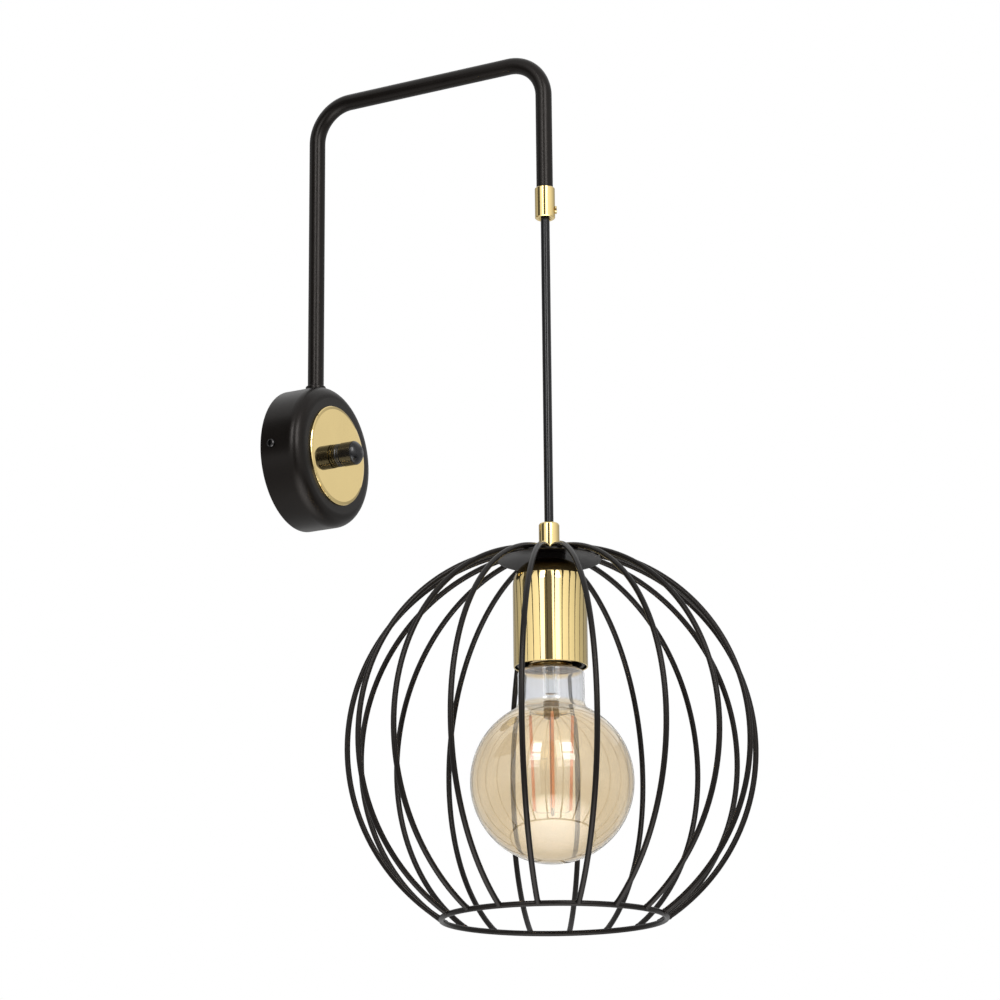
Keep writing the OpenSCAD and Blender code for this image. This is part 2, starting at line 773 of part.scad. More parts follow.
// Down through the nipple from the cable's end, then out to the terminals
module holder_leads() {
    lead_r = 1;
    half_pair = lead_r + 2 * lead_clear;
    low = insert_top + fit_gap;
    for (side = [-1, 1]) color(side < 0 ? lead_blue : lead_brown) at_pendant()
        lead_route([[side * half_pair, 0, cable_end - fit_gap],
            [side * half_pair, 0, nipple_bottom - lead_r],
            [side * terminal_x, 0, low + 3], [side * terminal_x, 0, low]], lead_r);
}

// ---- Bulb ----

module bulb_tip() {
    color(zinc) at_pendant(bulb_tip_z - tip_h) cylinder(r = tip_r, h = tip_h);
}

module bulb_insulator() {
    color(black_plastic) at_pendant(cap_top)
        cylinder(r1 = insulator_low_r, r2 = insulator_top_r, h = insulator_h - fit_gap);
}

module bulb_cap() {
    thread_depth = 0.9;
    cap_skin = 0.5;
    turns = 5;
    pitch = 3.63;
    first_turn = 2.2;
    color(zinc) at_pendant(cap_low) difference() {
        union() {
            cylinder(r = cap_r - thread_depth, h = cap_h - fit_gap);
            for (i = [0 : turns - 1]) translate([0, 0, first_turn + i * pitch]) rotate_extrude()
                translate([cap_r - thread_depth, 0]) circle(r = thread_depth, $fn = 32);
        }
        translate([0, 0, -over]) cylinder(r = cap_r - thread_depth - cap_skin, h = cap_h);
    }
}

// The neck widens from the screw cap, then meets the globe
module glass_form(inset) {
    top_r = neck_top_r - inset;
    shoulder_low = cap_low - neck_shoulder_h;
    translate([0, 0, globe_z]) sphere(r = globe_r - inset, $fn = 128);
    translate([0, 0, globe_z]) cylinder(r = neck_r - inset, h = shoulder_low - globe_z);
    translate([0, 0, shoulder_low])
        cylinder(r1 = neck_r - inset, r2 = top_r, h = neck_shoulder_h - nest_gap);
    translate([0, 0, cap_low - nest_gap])
        cylinder(r = top_r, h = neck_in_cap + (inset > 0 ? over : 0));
}

module bulb_glass() {
    color(amber_glass) at_pendant() difference() {
        glass_form(0);
        glass_form(glass_wall);
    }
}

// Glass stem, flared where it seals the neck
module bulb_stem() {
    flare_r = neck_top_r - glass_wall - fit_gap;
    flare_h = 5;
    flare_low = cap_low + neck_in_cap - flare_h - over;
    color(clear_glass) at_pendant() {
        translate([0, 0, flare_low]) cylinder(r1 = stem_r, r2 = flare_r, h = flare_h);
        translate([0, 0, stem_low]) cylinder(r = stem_r, h = flare_low - stem_low);
    }
}

// Post below the stem, with a wire to each end of each strip
module strip_wires() {
    wire_r = 0.4;
    post_r = 1.2;
    low_z = strip_low - strip_d;
    end_gap = wire_r + 2 * fit_gap;
    color(zinc) at_pendant() {
        translate([0, 0, low_z - post_r])
            cylinder(r = post_r, h = stem_low - fit_gap - low_z + post_r);
        for (i = [0 : strip_count - 1]) rotate([0, 0, strip_turn + i * 360 / strip_count]) {
            rod([0, 0, strip_top + 2 * strip_d], [strip_top_r, 0, strip_top + end_gap], wire_r);
            rod([0, 0, low_z], [strip_low_r, 0, strip_low - end_gap], wire_r);
        }
    }
}

module light_strips() {
    color(strip_orange) at_pendant() for (i = [0 : strip_count - 1])
        rotate([0, 0, strip_turn + i * 360 / strip_count])
            translate([strip_top_r, 0, strip_top]) rotate([0, 180 - strip_tilt, 0])
                cylinder(d = strip_d, h = strip_len);
}

wall_bracket();
base_shell();
side_screws();
earth_screw();
terminal_block();
terminal_screws();
block_screw();
base_leads();
brass_disc();
ring_nut();
switch_body();
switch_spindle();
switch_knob();
arm_tube();
arm_flange();
arm_nut();
arm_cable();
arm_collar();
collar_screw();
cable_bend();
pendant_cable();
ferrule();
ferrule_screw();
threaded_nipple();
cage_plate();
cage_wires();
cage_ring();
plate_spacer();
lamp_cup();
cup_nut();
holder_cap();
holder_body();
holder_insert();
screw_shell();
centre_contact();
contact_screws();
holder_leads();
bulb_tip();
bulb_insulator();
bulb_cap();
bulb_glass();
bulb_stem();
strip_wires();
light_strips();
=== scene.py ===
"""Looks of a cage wall light: a round black base with a brass disc and a rotary switch, a bent
tube arm, and a ball of black wires that hangs on its cable, round a brass cup and an amber bulb.
Lengths are in metres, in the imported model's own frame: the wall is the plane Y = 0, the light
stands out along -Y, and Z is up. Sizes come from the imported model's boxes where they can."""
import json
import math

import bmesh
import bpy
from mathutils import Matrix, Vector


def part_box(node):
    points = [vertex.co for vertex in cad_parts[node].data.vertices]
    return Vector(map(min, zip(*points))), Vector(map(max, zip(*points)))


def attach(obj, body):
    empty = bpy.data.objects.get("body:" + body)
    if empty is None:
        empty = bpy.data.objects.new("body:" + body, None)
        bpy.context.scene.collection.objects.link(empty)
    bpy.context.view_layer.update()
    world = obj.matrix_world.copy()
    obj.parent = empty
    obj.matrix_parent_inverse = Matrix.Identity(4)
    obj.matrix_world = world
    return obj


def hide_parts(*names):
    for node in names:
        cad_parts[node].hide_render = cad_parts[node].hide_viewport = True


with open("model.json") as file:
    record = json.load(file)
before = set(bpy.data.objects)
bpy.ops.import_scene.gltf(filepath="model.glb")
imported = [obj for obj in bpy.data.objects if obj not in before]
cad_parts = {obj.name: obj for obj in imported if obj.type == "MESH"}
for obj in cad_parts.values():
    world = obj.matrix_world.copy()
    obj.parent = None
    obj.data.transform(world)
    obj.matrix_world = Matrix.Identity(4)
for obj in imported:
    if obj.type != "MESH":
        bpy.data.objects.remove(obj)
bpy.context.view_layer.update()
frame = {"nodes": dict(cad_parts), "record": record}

MM = 0.001

# ---- Camera: where the photograph was taken from, a little below the cage and looking up ----
CAMERA_PLACE = Vector((-1613.7, -1027.1, -543.1)) * MM
CAMERA_AZIMUTH = math.radians(-61.26)
CAMERA_PITCH = 0.2648
CAMERA_ROLL = -0.0086
CAMERA_LENS = 115.09
SENSOR_WIDTH = 36


def camera_axes():
    """The camera's right, up and forward directions."""
    level = Vector((math.cos(CAMERA_AZIMUTH), math.sin(CAMERA_AZIMUTH), 0))
    forward = Vector((
        -math.sin(CAMERA_AZIMUTH) * math.cos(CAMERA_PITCH),
        math.cos(CAMERA_AZIMUTH) * math.cos(CAMERA_PITCH),
        math.sin(CAMERA_PITCH),
    ))
    rise = level.cross(forward)
    right = level * math.cos(CAMERA_ROLL) + rise * math.sin(CAMERA_ROLL)
    up = rise * math.cos(CAMERA_ROLL) - level * math.sin(CAMERA_ROLL)
    return right, up, forward


def make_camera():
    """The camera that the scene is rendered from."""
    right, up, forward = camera_axes()
    lens = bpy.data.cameras.new("camera")
    lens.lens = CAMERA_LENS
    lens.sensor_width = SENSOR_WIDTH
    camera = bpy.data.objects.new("camera", lens)
    bpy.context.scene.collection.objects.link(camera)
    turned = Matrix((right, up, -forward)).transposed().to_4x4()
    camera.matrix_world = Matrix.Translation(CAMERA_PLACE) @ turned
    bpy.context.scene.camera = camera


make_camera()

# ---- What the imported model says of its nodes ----
BODY_OF = {
    node: body
    for body, nodes in frame["record"]["behaviour"]["bodies"].items()
    for node in nodes
}
SLOT_OF = {name: cad.material_slots[0].material.name for name, cad in frame["nodes"].items()}

# ---- Places that several pieces share ----
PIVOT_LOW, PIVOT_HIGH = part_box("cable_bend")
PENDANT = Vector(((PIVOT_LOW.x + PIVOT_HIGH.x) / 2, (PIVOT_LOW.y + PIVOT_HIGH.y) / 2, 0))
FLANGE_LOW, FLANGE_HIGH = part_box("arm_flange")
RISING_TUBE = Vector((0, (FLANGE_LOW.y + FLANGE_HIGH.y) / 2, 0))
ORIGIN = Vector((0, 0, 0))         # centre of the base, on the wall

# ---- Sizes of details that the boxes don't give ----
ARC_STEP = math.radians(9)
SHARP_ANGLE = math.radians(42)
GUARD = 0.12 * MM            # distance of the support line beside a rounding
WELD_GAP = 0.05 * MM
THREAD_BORE_R = 5.05 * MM     # bore of what sits on the 10 mm thread or tube
BASE_WALL = 1.2 * MM
BASE_EDGE_R = 8 * MM
NECK_HOLE_R = 5.1 * MM
TUBE_BEND_R = 24 * MM
TUBE_WALL = 1 * MM
CABLE_HOLE_R = 2.8 * MM
PLATE_WALL = 1.2 * MM
CUP_WALL = 0.8 * MM
CUP_SHOULDER_R = 15 * MM
HOLDER_WALL = 2 * MM
GLASS_WALL = 0.8 * MM
GLOBE_NECK_BLEND_R = 6 * MM
THREAD_PITCH = 3.63 * MM


# ---- Shapes ----

def polar(radius, angle, height=0):
    """Place at a distance, an angle and a height about the Z axis."""
    return Vector((radius * math.cos(angle), radius * math.sin(angle), height))


def on_pendant(height):
    """Place on the pendant's axis."""
    return PENDANT + Vector((0, 0, height))


def new_object(name, mesh):
    """Links a mesh into the scene as an object at the origin."""
    made = bpy.data.objects.new(name, mesh)
    bpy.context.scene.collection.objects.link(made)
    return made


def smooth(mesh):
    """Smooth shading that keeps the real edges sharp."""
    mesh.shade_smooth()
    mesh.set_sharp_from_angle(angle=SHARP_ANGLE)


def fillet(before, corner, after, radius, step=ARC_STEP):
    """Points of the arc that rounds a corner of a path, with its two ends."""
    back = (before - corner).normalized()
    on = (after - corner).normalized()
    turn = math.pi - back.angle(on)
    reach = radius * math.tan(turn / 2)
    axis = on.cross(back).normalized()
    start = corner + back * reach
    centre = start + back.cross(axis).normalized() * radius
    if (centre - corner).dot(on) < 0:
        centre = start - back.cross(axis).normalized() * radius
    steps = max(2, math.ceil(turn / step))
    spoke = start - centre
    way = 1 if spoke.cross(corner + on * reach - centre).dot(axis) > 0 else -1
    return [
        centre + Matrix.Rotation(way * turn * i / steps, 3, axis) @ spoke
        for i in range(steps + 1)
    ]


def rounded(corners):
    """Closed outline through corners (radius, height, fillet), in metres, with support lines."""
    points = []
    for i, (radius, height, round_r) in enumerate(corners):
        here = Vector((radius, height, 0))
        if not round_r:
            points.append(here)
            continue
        before = Vector((*corners[i - 1][:2], 0))
        after = Vector((*corners[(i + 1) % len(corners)][:2], 0))
        arc = fillet(before, here, after, round_r)
        arc.insert(0, arc[0] + (before - here).normalized() * GUARD)
        arc.append(arc[-1] + (after - here).normalized() * GUARD)
        points += arc
    return [(p.x, p.y) for p in points]


def arc_points(centre_height, radius, from_r, to_r, steps):
    """Outline points on the upper side of a ball about the axis, from one distance to another."""
    first = math.asin(from_r / radius)
    last = math.asin(to_r / radius)
    angles = [first + (last - first) * i / steps for i in range(steps + 1)]
    return [(radius * math.sin(a), centre_height + radius * math.cos(a)) for a in angles]


def skin(shape, rings, closed):
    """Faces between neighbouring rings of vertices; a ring of one vertex is a pole."""
    pairs = list(zip(rings, rings[1:]))
    if closed:
        pairs.append((rings[-1], rings[0]))
    for low, high in pairs:
        count = max(len(low), len(high))
        if count == 1:
            continue
        for k in range(count):
            after = (k + 1) % count
            corners = [low[k % len(low)], low[after % len(low)],
                       high[after % len(high)], high[k % len(high)]]
            shape.faces.new(list(dict.fromkeys(corners)))


def solid(name, rings, closed=True):
    """Object whose surface joins rings of points, with its faces outwards."""
    shape = bmesh.new()
    made = [[shape.verts.new(point) for point in ring] for ring in rings]
    skin(shape, made, closed)
    bmesh.ops.recalc_face_normals(shape, faces=shape.faces)
    mesh = bpy.data.meshes.new(name)
    shape.to_mesh(mesh)
    shape.free()
    smooth(mesh)
    return new_object(name, mesh)


def lathe(name, outline, foot, out_from_wall=False, segments=96):
    """Turned piece: an outline of (radius, height) about the axis up from foot, or out of the
    wall."""
    turn = Matrix.Rotation(math.radians(90 if out_from_wall else 0), 3, "X")
    rings = []
    for radius, height in outline:
        count = segments if radius > 1e-6 else 1
        rings.append([
            foot + turn @ polar(radius, 2 * math.pi * k / count, height) for k in range(count)
        ])
    return solid(name, rings)


def bent_path(corners, bend_r, step=math.radians(4)):
    """Points of a path whose inner corners are rounded."""
    points = [corners[0]]
    for before, corner, after in zip(corners, corners[1:], corners[2:]):
        points += fillet(before, corner, after, bend_r, step)
    return points + [corners[-1]]


def path_frames(points):
    """For each point, its place and two directions square to the path, carried along smoothly."""
    ways = []
    for i in range(len(points)):
        ways.append((points[min(i + 1, len(points) - 1)] - points[max(i - 1, 0)]).normalized())
    side = ways[0].orthogonal().normalized()
    frames = []
    for i, way in enumerate(ways):
        if i:
            side = ways[i - 1].rotation_difference(way) @ side
        side = (side - way * side.dot(way)).normalized()
        frames.append((points[i], side, way.cross(side)))
    return frames


def path_ring(frame_at, radius, segments):
    """Ring of points about one place of a path."""
    place, side, other = frame_at
    if radius < 1e-6:
        return [place]
    angles = [2 * math.pi * k / segments for k in range(segments)]
    return [place + side * radius * math.cos(a) + other * radius * math.sin(a) for a in angles]


def hollow_tube(name, points, outer_r, inner_r, segments=48):
    """Tube with a wall, along a path."""
    frames = path_frames(points)
    rings = [path_ring(at, outer_r, segments) for at in frames]
    rings += [path_ring(at, inner_r, segments) for at in reversed(frames)]
    return solid(name, rings)


def round_bar(name, points, radius, segments=32):
    """Solid round bar along a path."""
    frames = path_frames(points)
    rings = [[points[0]]]
    rings += [path_ring(at, radius, segments) for at in frames]
    rings.append([points[-1]])
    return solid(name, rings, closed=False)


def screw_thread(name, foot, middle_r, depth, wall, low, high, segments=72, rows_per_turn=10):
    """Sheet tube with a rolled round thread that fades out at both ends."""
    rows = round((high - low) / THREAD_PITCH * rows_per_turn)
    fade = THREAD_PITCH / 2

    def wave_ring(row, inset):
        height = low + (high - low) * row / rows
        strength = min(1, (height - low) / fade, (high - height) / fade)
        points = []
        for k in range(segments):
            angle = 2 * math.pi * k / segments
            wave = math.cos(2 * math.pi * (height - low) / THREAD_PITCH - angle)
            radius = middle_r + depth * strength * wave - inset
            points.append(foot + polar(radius, angle, height))
        return points

    rings = [wave_ring(row, 0) for row in range(rows + 1)]
    rings += [wave_ring(row, wall) for row in reversed(range(rows + 1))]
    return solid(name, rings)


# ---- Node trees ----

def node(tree, kind, inputs=(), **properties):
    """Adds a node. Each of its inputs gets a value, or is fed by another node's output."""
    made = tree.nodes.new(kind)
    for name, value in properties.items():
        setattr(made, name, value)
    for socket, value in dict(inputs).items():
        if isinstance(value, bpy.types.NodeSocket):
            tree.links.new(value, made.inputs[socket])
        else:
            made.inputs[socket].default_value = value
    return made


def maths(tree, operation, *values):
    """Output of a Math node."""
    return node(tree, "ShaderNodeMath", enumerate(values), operation=operation).outputs[0]


def geometry_tree(name, inputs):
    """Geometry tree with named inputs, and the outputs of its input node."""
    tree = bpy.data.node_groups.new(name, "GeometryNodeTree")
    tree.interface.new_socket("Geometry", in_out="OUTPUT", socket_type="NodeSocketGeometry")
    tree.interface.new_socket("Geometry", in_out="INPUT", socket_type="NodeSocketGeometry")
    for label, kind in inputs.items():
        tree.interface.new_socket(label, in_out="INPUT", socket_type=f"NodeSocket{kind}")
    tree.interface.new_socket("Material", in_out="INPUT", socket_type="NodeSocketMaterial")
    return tree, tree.nodes.new("NodeGroupInput").outputs


def end_tree(tree, geometry, material):
    """Last nodes of a geometry tree: real geometry, smooth, with its material."""
    real = node(tree, "GeometryNodeRealizeInstances", {0: geometry})
    shaded = node(tree, "GeometryNodeSetShadeSmooth", {"Geometry": real.outputs[0]})
    painted = node(tree, "GeometryNodeSetMaterial",
                   {"Geometry": shaded.outputs[0], "Material": material})
    node(tree, "NodeGroupOutput", {0: painted.outputs[0]})


def grow(name, tree, values, points=(), edges=(), facing=()):
    """Runs a geometry tree on a few points and keeps its result as a plain mesh object."""
    mesh = bpy.data.meshes.new(name)
    mesh.from_pydata(points, edges, [])
    if facing:
        layer = mesh.attributes.new("facing", "FLOAT_VECTOR", "POINT")
        layer.data.foreach_set("vector", [x for way in facing for x in way])
    piece = new_object(name, mesh)
    modifier = piece.modifiers.new(name, "NODES")
    modifier.node_group = tree
    for item in tree.interface.items_tree:
        if item.in_out == "INPUT" and item.name in values:
            modifier[item.identifier] = values[item.name]
    grown = piece.evaluated_get(bpy.context.evaluated_depsgraph_get())
    result = bpy.data.meshes.new_from_object(grown)
    piece.modifiers.remove(modifier)
    piece.data = result
    result.set_sharp_from_angle(angle=SHARP_ANGLE)
    return piece


def round_wire(tree, curve, radius, sides, closed=False):
    """Mesh of a round wire along a curve, with filled ends unless the curve is closed."""
    section = node(tree, "GeometryNodeCurvePrimitiveCircle",
                   {"Resolution": sides, "Radius": radius})
    return node(tree, "GeometryNodeCurveToMesh", {
        "Curve": curve, "Profile Curve": section.outputs["Curve"], "Fill Caps": not closed,
    }).outputs["Mesh"]


def cage_wire_tree():
    """Upright wires round a ball, each an arc that ends in a small weld bead on the ring."""
    tree, given = geometry_tree("cage_wire_tree", {
        "Count": "Int", "Ball Radius": "Float", "Wire Radius": "Float",
        "Lower Angle": "Float", "Upper Angle": "Float", "Bead Share": "Float", "Centre": "Vector",
    })
    sweep = maths(tree, "SUBTRACT", given["Upper Angle"], given["Lower Angle"])
    arc = node(tree, "GeometryNodeCurveArc", {
        "Resolution": 72, "Radius": given["Ball Radius"],
        "Start Angle": given["Lower Angle"], "Sweep Angle": sweep,
    })
    wire = round_wire(tree, arc.outputs["Curve"], given["Wire Radius"], 20)
    low_end = node(tree, "GeometryNodeCurveEndpointSelection", {"Start Size": 1, "End Size": 0})
    bead_r = maths(tree, "MULTIPLY", given["Wire Radius"], given["Bead Share"])
    ball = node(tree, "GeometryNodeMeshIcoSphere", {"Radius": bead_r, "Subdivisions": 3})
    bead = node(tree, "GeometryNodeInstanceOnPoints", {
        "Points": arc.outputs["Curve"], "Selection": low_end.outputs[0],
        "Instance": ball.outputs["Mesh"],
    })
    one = node(tree, "GeometryNodeJoinGeometry")
    tree.links.new(wire, one.inputs[0])
    tree.links.new(bead.outputs["Instances"], one.inputs[0])
    upright = node(tree, "GeometryNodeTransform",
                   {"Geometry": one.outputs[0], "Rotation": (math.pi / 2, 0, 0)})
    hubs = node(tree, "GeometryNodePoints", {"Count": given["Count"], "Position": given["Centre"]})
    part = maths(tree, "DIVIDE", node(tree, "GeometryNodeInputIndex").outputs[0], given["Count"])
    angle = maths(tree, "MULTIPLY", part, 2 * math.pi)
    turned = node(tree, "ShaderNodeCombineXYZ", {"Z": angle})
    rotation = node(tree, "FunctionNodeEulerToRotation", {0: turned.outputs[0]})
    ball_of_wires = node(tree, "GeometryNodeInstanceOnPoints", {
        "Points": hubs.outputs[0], "Instance": upright.outputs[0], "Rotation": rotation.outputs[0],
    })
    end_tree(tree, ball_of_wires.outputs[0], given["Material"])
    return tree


def wire_ring_tree():
    """Closed ring of round wire."""
    tree, given = geometry_tree("wire_ring_tree", {
        "Ring Radius": "Float", "Wire Radius": "Float", "Centre": "Vector",
    })
    circle = node(tree, "GeometryNodeCurvePrimitiveCircle",
                  {"Resolution": 180, "Radius": given["Ring Radius"]})
    ring = round_wire(tree, circle.outputs["Curve"], given["Wire Radius"], 24, closed=True)
    placed = node(tree, "GeometryNodeTransform", {"Geometry": ring, "Translation": given["Centre"]})
    end_tree(tree, placed.outputs[0], given["Material"])
    return tree


def path_wire_tree():
    """Round wires along the edges that the tree is given, rounded at their corners."""
    tree, given = geometry_tree("path_wire_tree", {
        "Wire Radius": "Float", "Bend Radius": "Float",
    })
    path = node(tree, "GeometryNodeMeshToCurve", {"Mesh": given["Geometry"]})
    bent = node(tree, "GeometryNodeFilletCurve", {
        "Curve": path.outputs[0], "Radius": given["Bend Radius"], "Limit Radius": True, "Count": 10,
    }, mode="POLY")
    wire = round_wire(tree, bent.outputs[0], given["Wire Radius"], 16)
    end_tree(tree, wire, given["Material"])
    return tree


def copies_tree():
    """One copy of a pattern on each point, its own Z turned along the point's facing."""
    tree, given = geometry_tree("copies_tree", {"Pattern": "Object"})
    pattern = node(tree, "GeometryNodeObjectInfo",
                   {"Object": given["Pattern"], "As Instance": True})
    facing = node(tree, "GeometryNodeInputNamedAttribute", {"Name": "facing"},
                  data_type="FLOAT_VECTOR")
    turned = node(tree, "FunctionNodeAlignRotationToVector", {"Vector": facing.outputs[0]},
                  axis="Z")
    copies = node(tree, "GeometryNodeInstanceOnPoints", {
        "Points": given["Geometry"], "Instance": pattern.outputs["Geometry"],
        "Rotation": turned.outputs[0],
    })
    end_tree(tree, copies.outputs[0], given["Material"])
    return tree


COPIES = copies_tree()


# ---- Effects that several materials share ----

def surface_place(tree):
    """Place on the object, in metres."""
    return node(tree, "ShaderNodeTexCoord").outputs["Object"]


def noise(tree, place, scale, detail, **more):
    """Noise over a surface."""
    values = {"Vector": place, "Scale": scale, "Detail": detail, **more}
    return node(tree, "ShaderNodeTexNoise", values).outputs["Fac"]


def remap(tree, value, from_min, from_max, to_min=0, to_max=1, blend="LINEAR"):
    """A value's range mapped to another one, and held at its ends."""
    return node(tree, "ShaderNodeMapRange", {
        "Value": value, "From Min": from_min, "From Max": from_max,
        "To Min": to_min, "To Max": to_max,
    }, interpolation_type=blend).outputs[0]


def effect_group(name, inputs, outputs):
    """Shader node group with named number inputs and outputs."""
    group = bpy.data.node_groups.new(name, "ShaderNodeTree")
    for label, value in inputs.items():
        socket = group.interface.new_socket(label, in_out="INPUT", socket_type="NodeSocketFloat")
        socket.default_value = value
    for label in outputs:
        group.interface.new_socket(label, in_out="OUTPUT", socket_type="NodeSocketFloat")
    return group, group.nodes.new("NodeGroupInput").outputs


def powder_grain_group():
    """Fine orange peel of powder coat and of moulded plastic: Height, and a Shade near 1."""
    group, given = effect_group("powder_grain", {"Scale": 1500, "Shade Range": 0.2},
                                ("Height", "Shade"))
    place = surface_place(group)
    grain = noise(group, place, given["Scale"], 2, Roughness=0.55)
    cells = node(group, "ShaderNodeTexVoronoi",
                 {"Vector": place, "Scale": given["Scale"]}, feature="SMOOTH_F1")
    height = maths(group, "MULTIPLY_ADD", cells.outputs["Distance"], -0.6, grain)
    mixed = maths(group, "ADD", noise(group, place, 60, 4), grain)
    centred = maths(group, "SUBTRACT", mixed, 1)
    shade = maths(group, "MULTIPLY_ADD", centred, given["Shade Range"], 1)
    node(group, "NodeGroupOutput", {"Height": height, "Shade": shade})
    return group


def handling_group():
    """Faint smears and dust of a handled surface: Roughness to use, and a Shade near 1."""
    group, given = effect_group("handling", {"Scale": 40, "Smoothest": 0.08, "Roughest": 0.16},
                                ("Roughness", "Shade"))
    place = surface_place(group)
    smears = noise(group, place, given["Scale"], 5, Distortion=0.8)
    both = maths(group, "MULTIPLY_ADD", noise(group, place, 900, 3), 0.3, smears)
    roughness = remap(group, both, 0.5, 0.85, given["Smoothest"], given["Roughest"])
    node(group, "NodeGroupOutput",
         {"Roughness": roughness, "Shade": remap(group, both, 0.4, 0.9, 1, 0.94)})
    return group


def turning_lines_group():
    """Hair-fine lines that a lathe or a drawing die leaves, across the X, Y or Z direction:
    Height."""
    group, given = effect_group("turning_lines", {"Along X": 0, "Along Y": 0, "Along Z": 1},
                                ("Height",))
    stretch = node(group, "ShaderNodeCombineXYZ",
                   {0: given["Along X"], 1: given["Along Y"], 2: given["Along Z"]})
    along = node(group, "ShaderNodeVectorMath", {0: surface_place(group), 1: stretch.outputs[0]},
                 operation="DOT_PRODUCT")
    lines = node(group, "ShaderNodeTexNoise",
                 {"W": along.outputs["Value"], "Scale": 6000, "Detail": 3}, noise_dimensions="1D")
    node(group, "NodeGroupOutput", {"Height": lines.outputs["Fac"]})
    return group


POWDER_GRAIN = powder_grain_group()
HANDLING = handling_group()
TURNING_LINES = turning_lines_group()


# ---- Materials ----

def new_material(name, settings):
    """Material with one Principled shader whose plain socket values are given."""
    made = bpy.data.materials.new(name)
    made.use_nodes = True
    tree = made.node_tree
    shader = tree.nodes["Principled BSDF"]
    for socket, value in settings.items():
        shader.inputs[socket].default_value = value
    return made, tree, shader


def use(tree, group, values=()):
    """Places an effect group in a material, with its own values."""
    return node(tree, "ShaderNodeGroup", values, node_tree=group)


def shaded(tree, colour, shade):
    """A colour times a shade that changes over the surface."""
    tint = node(tree, "ShaderNodeVectorMath", {0: colour[:3]}, operation="SCALE")
    tree.links.new(shade, tint.inputs["Scale"])
    return tint.outputs[0]


def mixed(tree, share, first, second):
    """Blend of two colours."""
    values = {0: share, 6: first, 7: second}
    return node(tree, "ShaderNodeMix", values, data_type="RGBA").outputs[2]


def bump(tree, shader, height, depth):
    """Feeds a height in metres into the shader's normal."""
    made = node(tree, "ShaderNodeBump", {"Height": height, "Distance": depth})
    tree.links.new(made.outputs[0], shader.inputs["Normal"])


def feed(tree, shader, colour, marks, height, depth):
    """Gives the shader its colour, the roughness of handling marks, and a bump."""
    tree.links.new(colour, shader.inputs["Base Color"])
    tree.links.new(marks.outputs["Roughness"], shader.inputs["Roughness"])
    bump(tree, shader, height, depth)


def coated(name, colour, smoothest, roughest, grain_scale, grain_depth, settings):
    """Paint or moulded plastic: a grained skin with faint handling marks."""
    made, tree, shader = new_material(name, settings)
    grain = use(tree, POWDER_GRAIN, {"Scale": grain_scale, "Shade Range": 0.5})
    marks = use(tree, HANDLING, {"Smoothest": smoothest, "Roughest": roughest})
    colour = shaded(tree, colour, grain.outputs["Shade"])
    feed(tree, shader, colour, marks, grain.outputs["Height"], grain_depth)
    return made


def metal(name, colour, smoothest, roughest):
    """Bare or lacquered metal with turning lines and faint smears."""
    made, tree, shader = new_material(name, {"Metallic": 1.0})
    marks = use(tree, HANDLING, {"Smoothest": smoothest, "Roughest": roughest})
    lines = use(tree, TURNING_LINES)
    colour = shaded(tree, colour, marks.outputs["Shade"])
    feed(tree, shader, colour, marks, lines.outputs["Height"], 0.0004 * MM)
    return made


def two_toned(name, settings, share, colours, roughness_range, grain_scale):
    """Finish of two colours with handling marks and a fine grain. share(tree, place) gives the
    second colour's share at a place."""
    made, tree, shader = new_material(name, settings)
    colour = mixed(tree, share(tree, surface_place(tree)), *colours)
    smoothest, roughest = roughness_range
    marks = use(tree, HANDLING, {"Smoothest": smoothest, "Roughest": roughest})
    grain = use(tree, POWDER_GRAIN, {"Scale": grain_scale})
    feed(tree, shader, colour, marks, grain.outputs["Height"], 0.004 * MM)
    return made


def zinc_plate():
    """Zinc plating: grey metal with faint blue and yellow clouds."""
    bluish, yellowish = (0.52, 0.56, 0.62, 1), (0.66, 0.62, 0.50, 1)
    return two_toned("zinc_plate", {"Metallic": 1.0},
                     lambda tree, place: noise(tree, place, 70, 3),
                     (bluish, yellowish), (0.24, 0.42), 2500)


def right_side(tree, place):
    """1 on the right of the plane X = 0, and 0 on its left."""
    across = node(tree, "ShaderNodeSeparateXYZ", {0: place})
    return maths(tree, "GREATER_THAN", across.outputs["X"], 0)


def two_leads(name, left, right):
    """Insulation of a pair of leads: one colour on each side of the plane X = 0."""
    return two_toned(name, {"Specular IOR Level": 0.4}, right_side, (left, right),
                     (0.3, 0.45), 2000)


def bulb_glass():
    """Globe with an amber coat that reflects more than bare glass, and a clear neck with a painted
    golden glow where it stands before the metal cap and its cement: painted light for the lit brass
    cap seen through it."""
    # the golden colour is painted light: the clear neck is tinted as if the brass cap behind it
    # were lit
    clear, amber, painted_cap_glow = (0.87, 0.88, 0.90, 1), (0.88, 0.78, 0.61, 1), (0.82, 0.62, 0.30, 1)
    coat_edge = 2 * MM
    glow_from, glow_to = CAP_LOW - 4.5 * MM, CAP_LOW - 2.5 * MM
    coat_on_globe, coat_on_neck = 0.5, 0.2
    made, tree, shader = new_material("amber_glass_finish", {
        "Transmission Weight": 0.93, "IOR": 1.45, "Roughness": 0.0,
        "Coat IOR": 1.65, "Coat Roughness": 0.0,
    })
    place = surface_place(tree)
    height = node(tree, "ShaderNodeSeparateXYZ", {0: place}).outputs["Z"]
    above = remap(tree, height, COAT_TOP - coat_edge, COAT_TOP)
    # share of the painted golden glow, near the lower end of the metal cap
    painted_glow_share = remap(tree, height, glow_from, glow_to)
    tint = mixed(tree, painted_glow_share, mixed(tree, above, amber, clear), painted_cap_glow)
    coat = remap(tree, above, 0, 1, coat_on_globe, coat_on_neck)
    tree.links.new(tint, shader.inputs["Base Color"])
    tree.links.new(coat, shader.inputs["Coat Weight"])
    bump(tree, shader, noise(tree, place, 45, 1), 0.04 * MM)
    return made


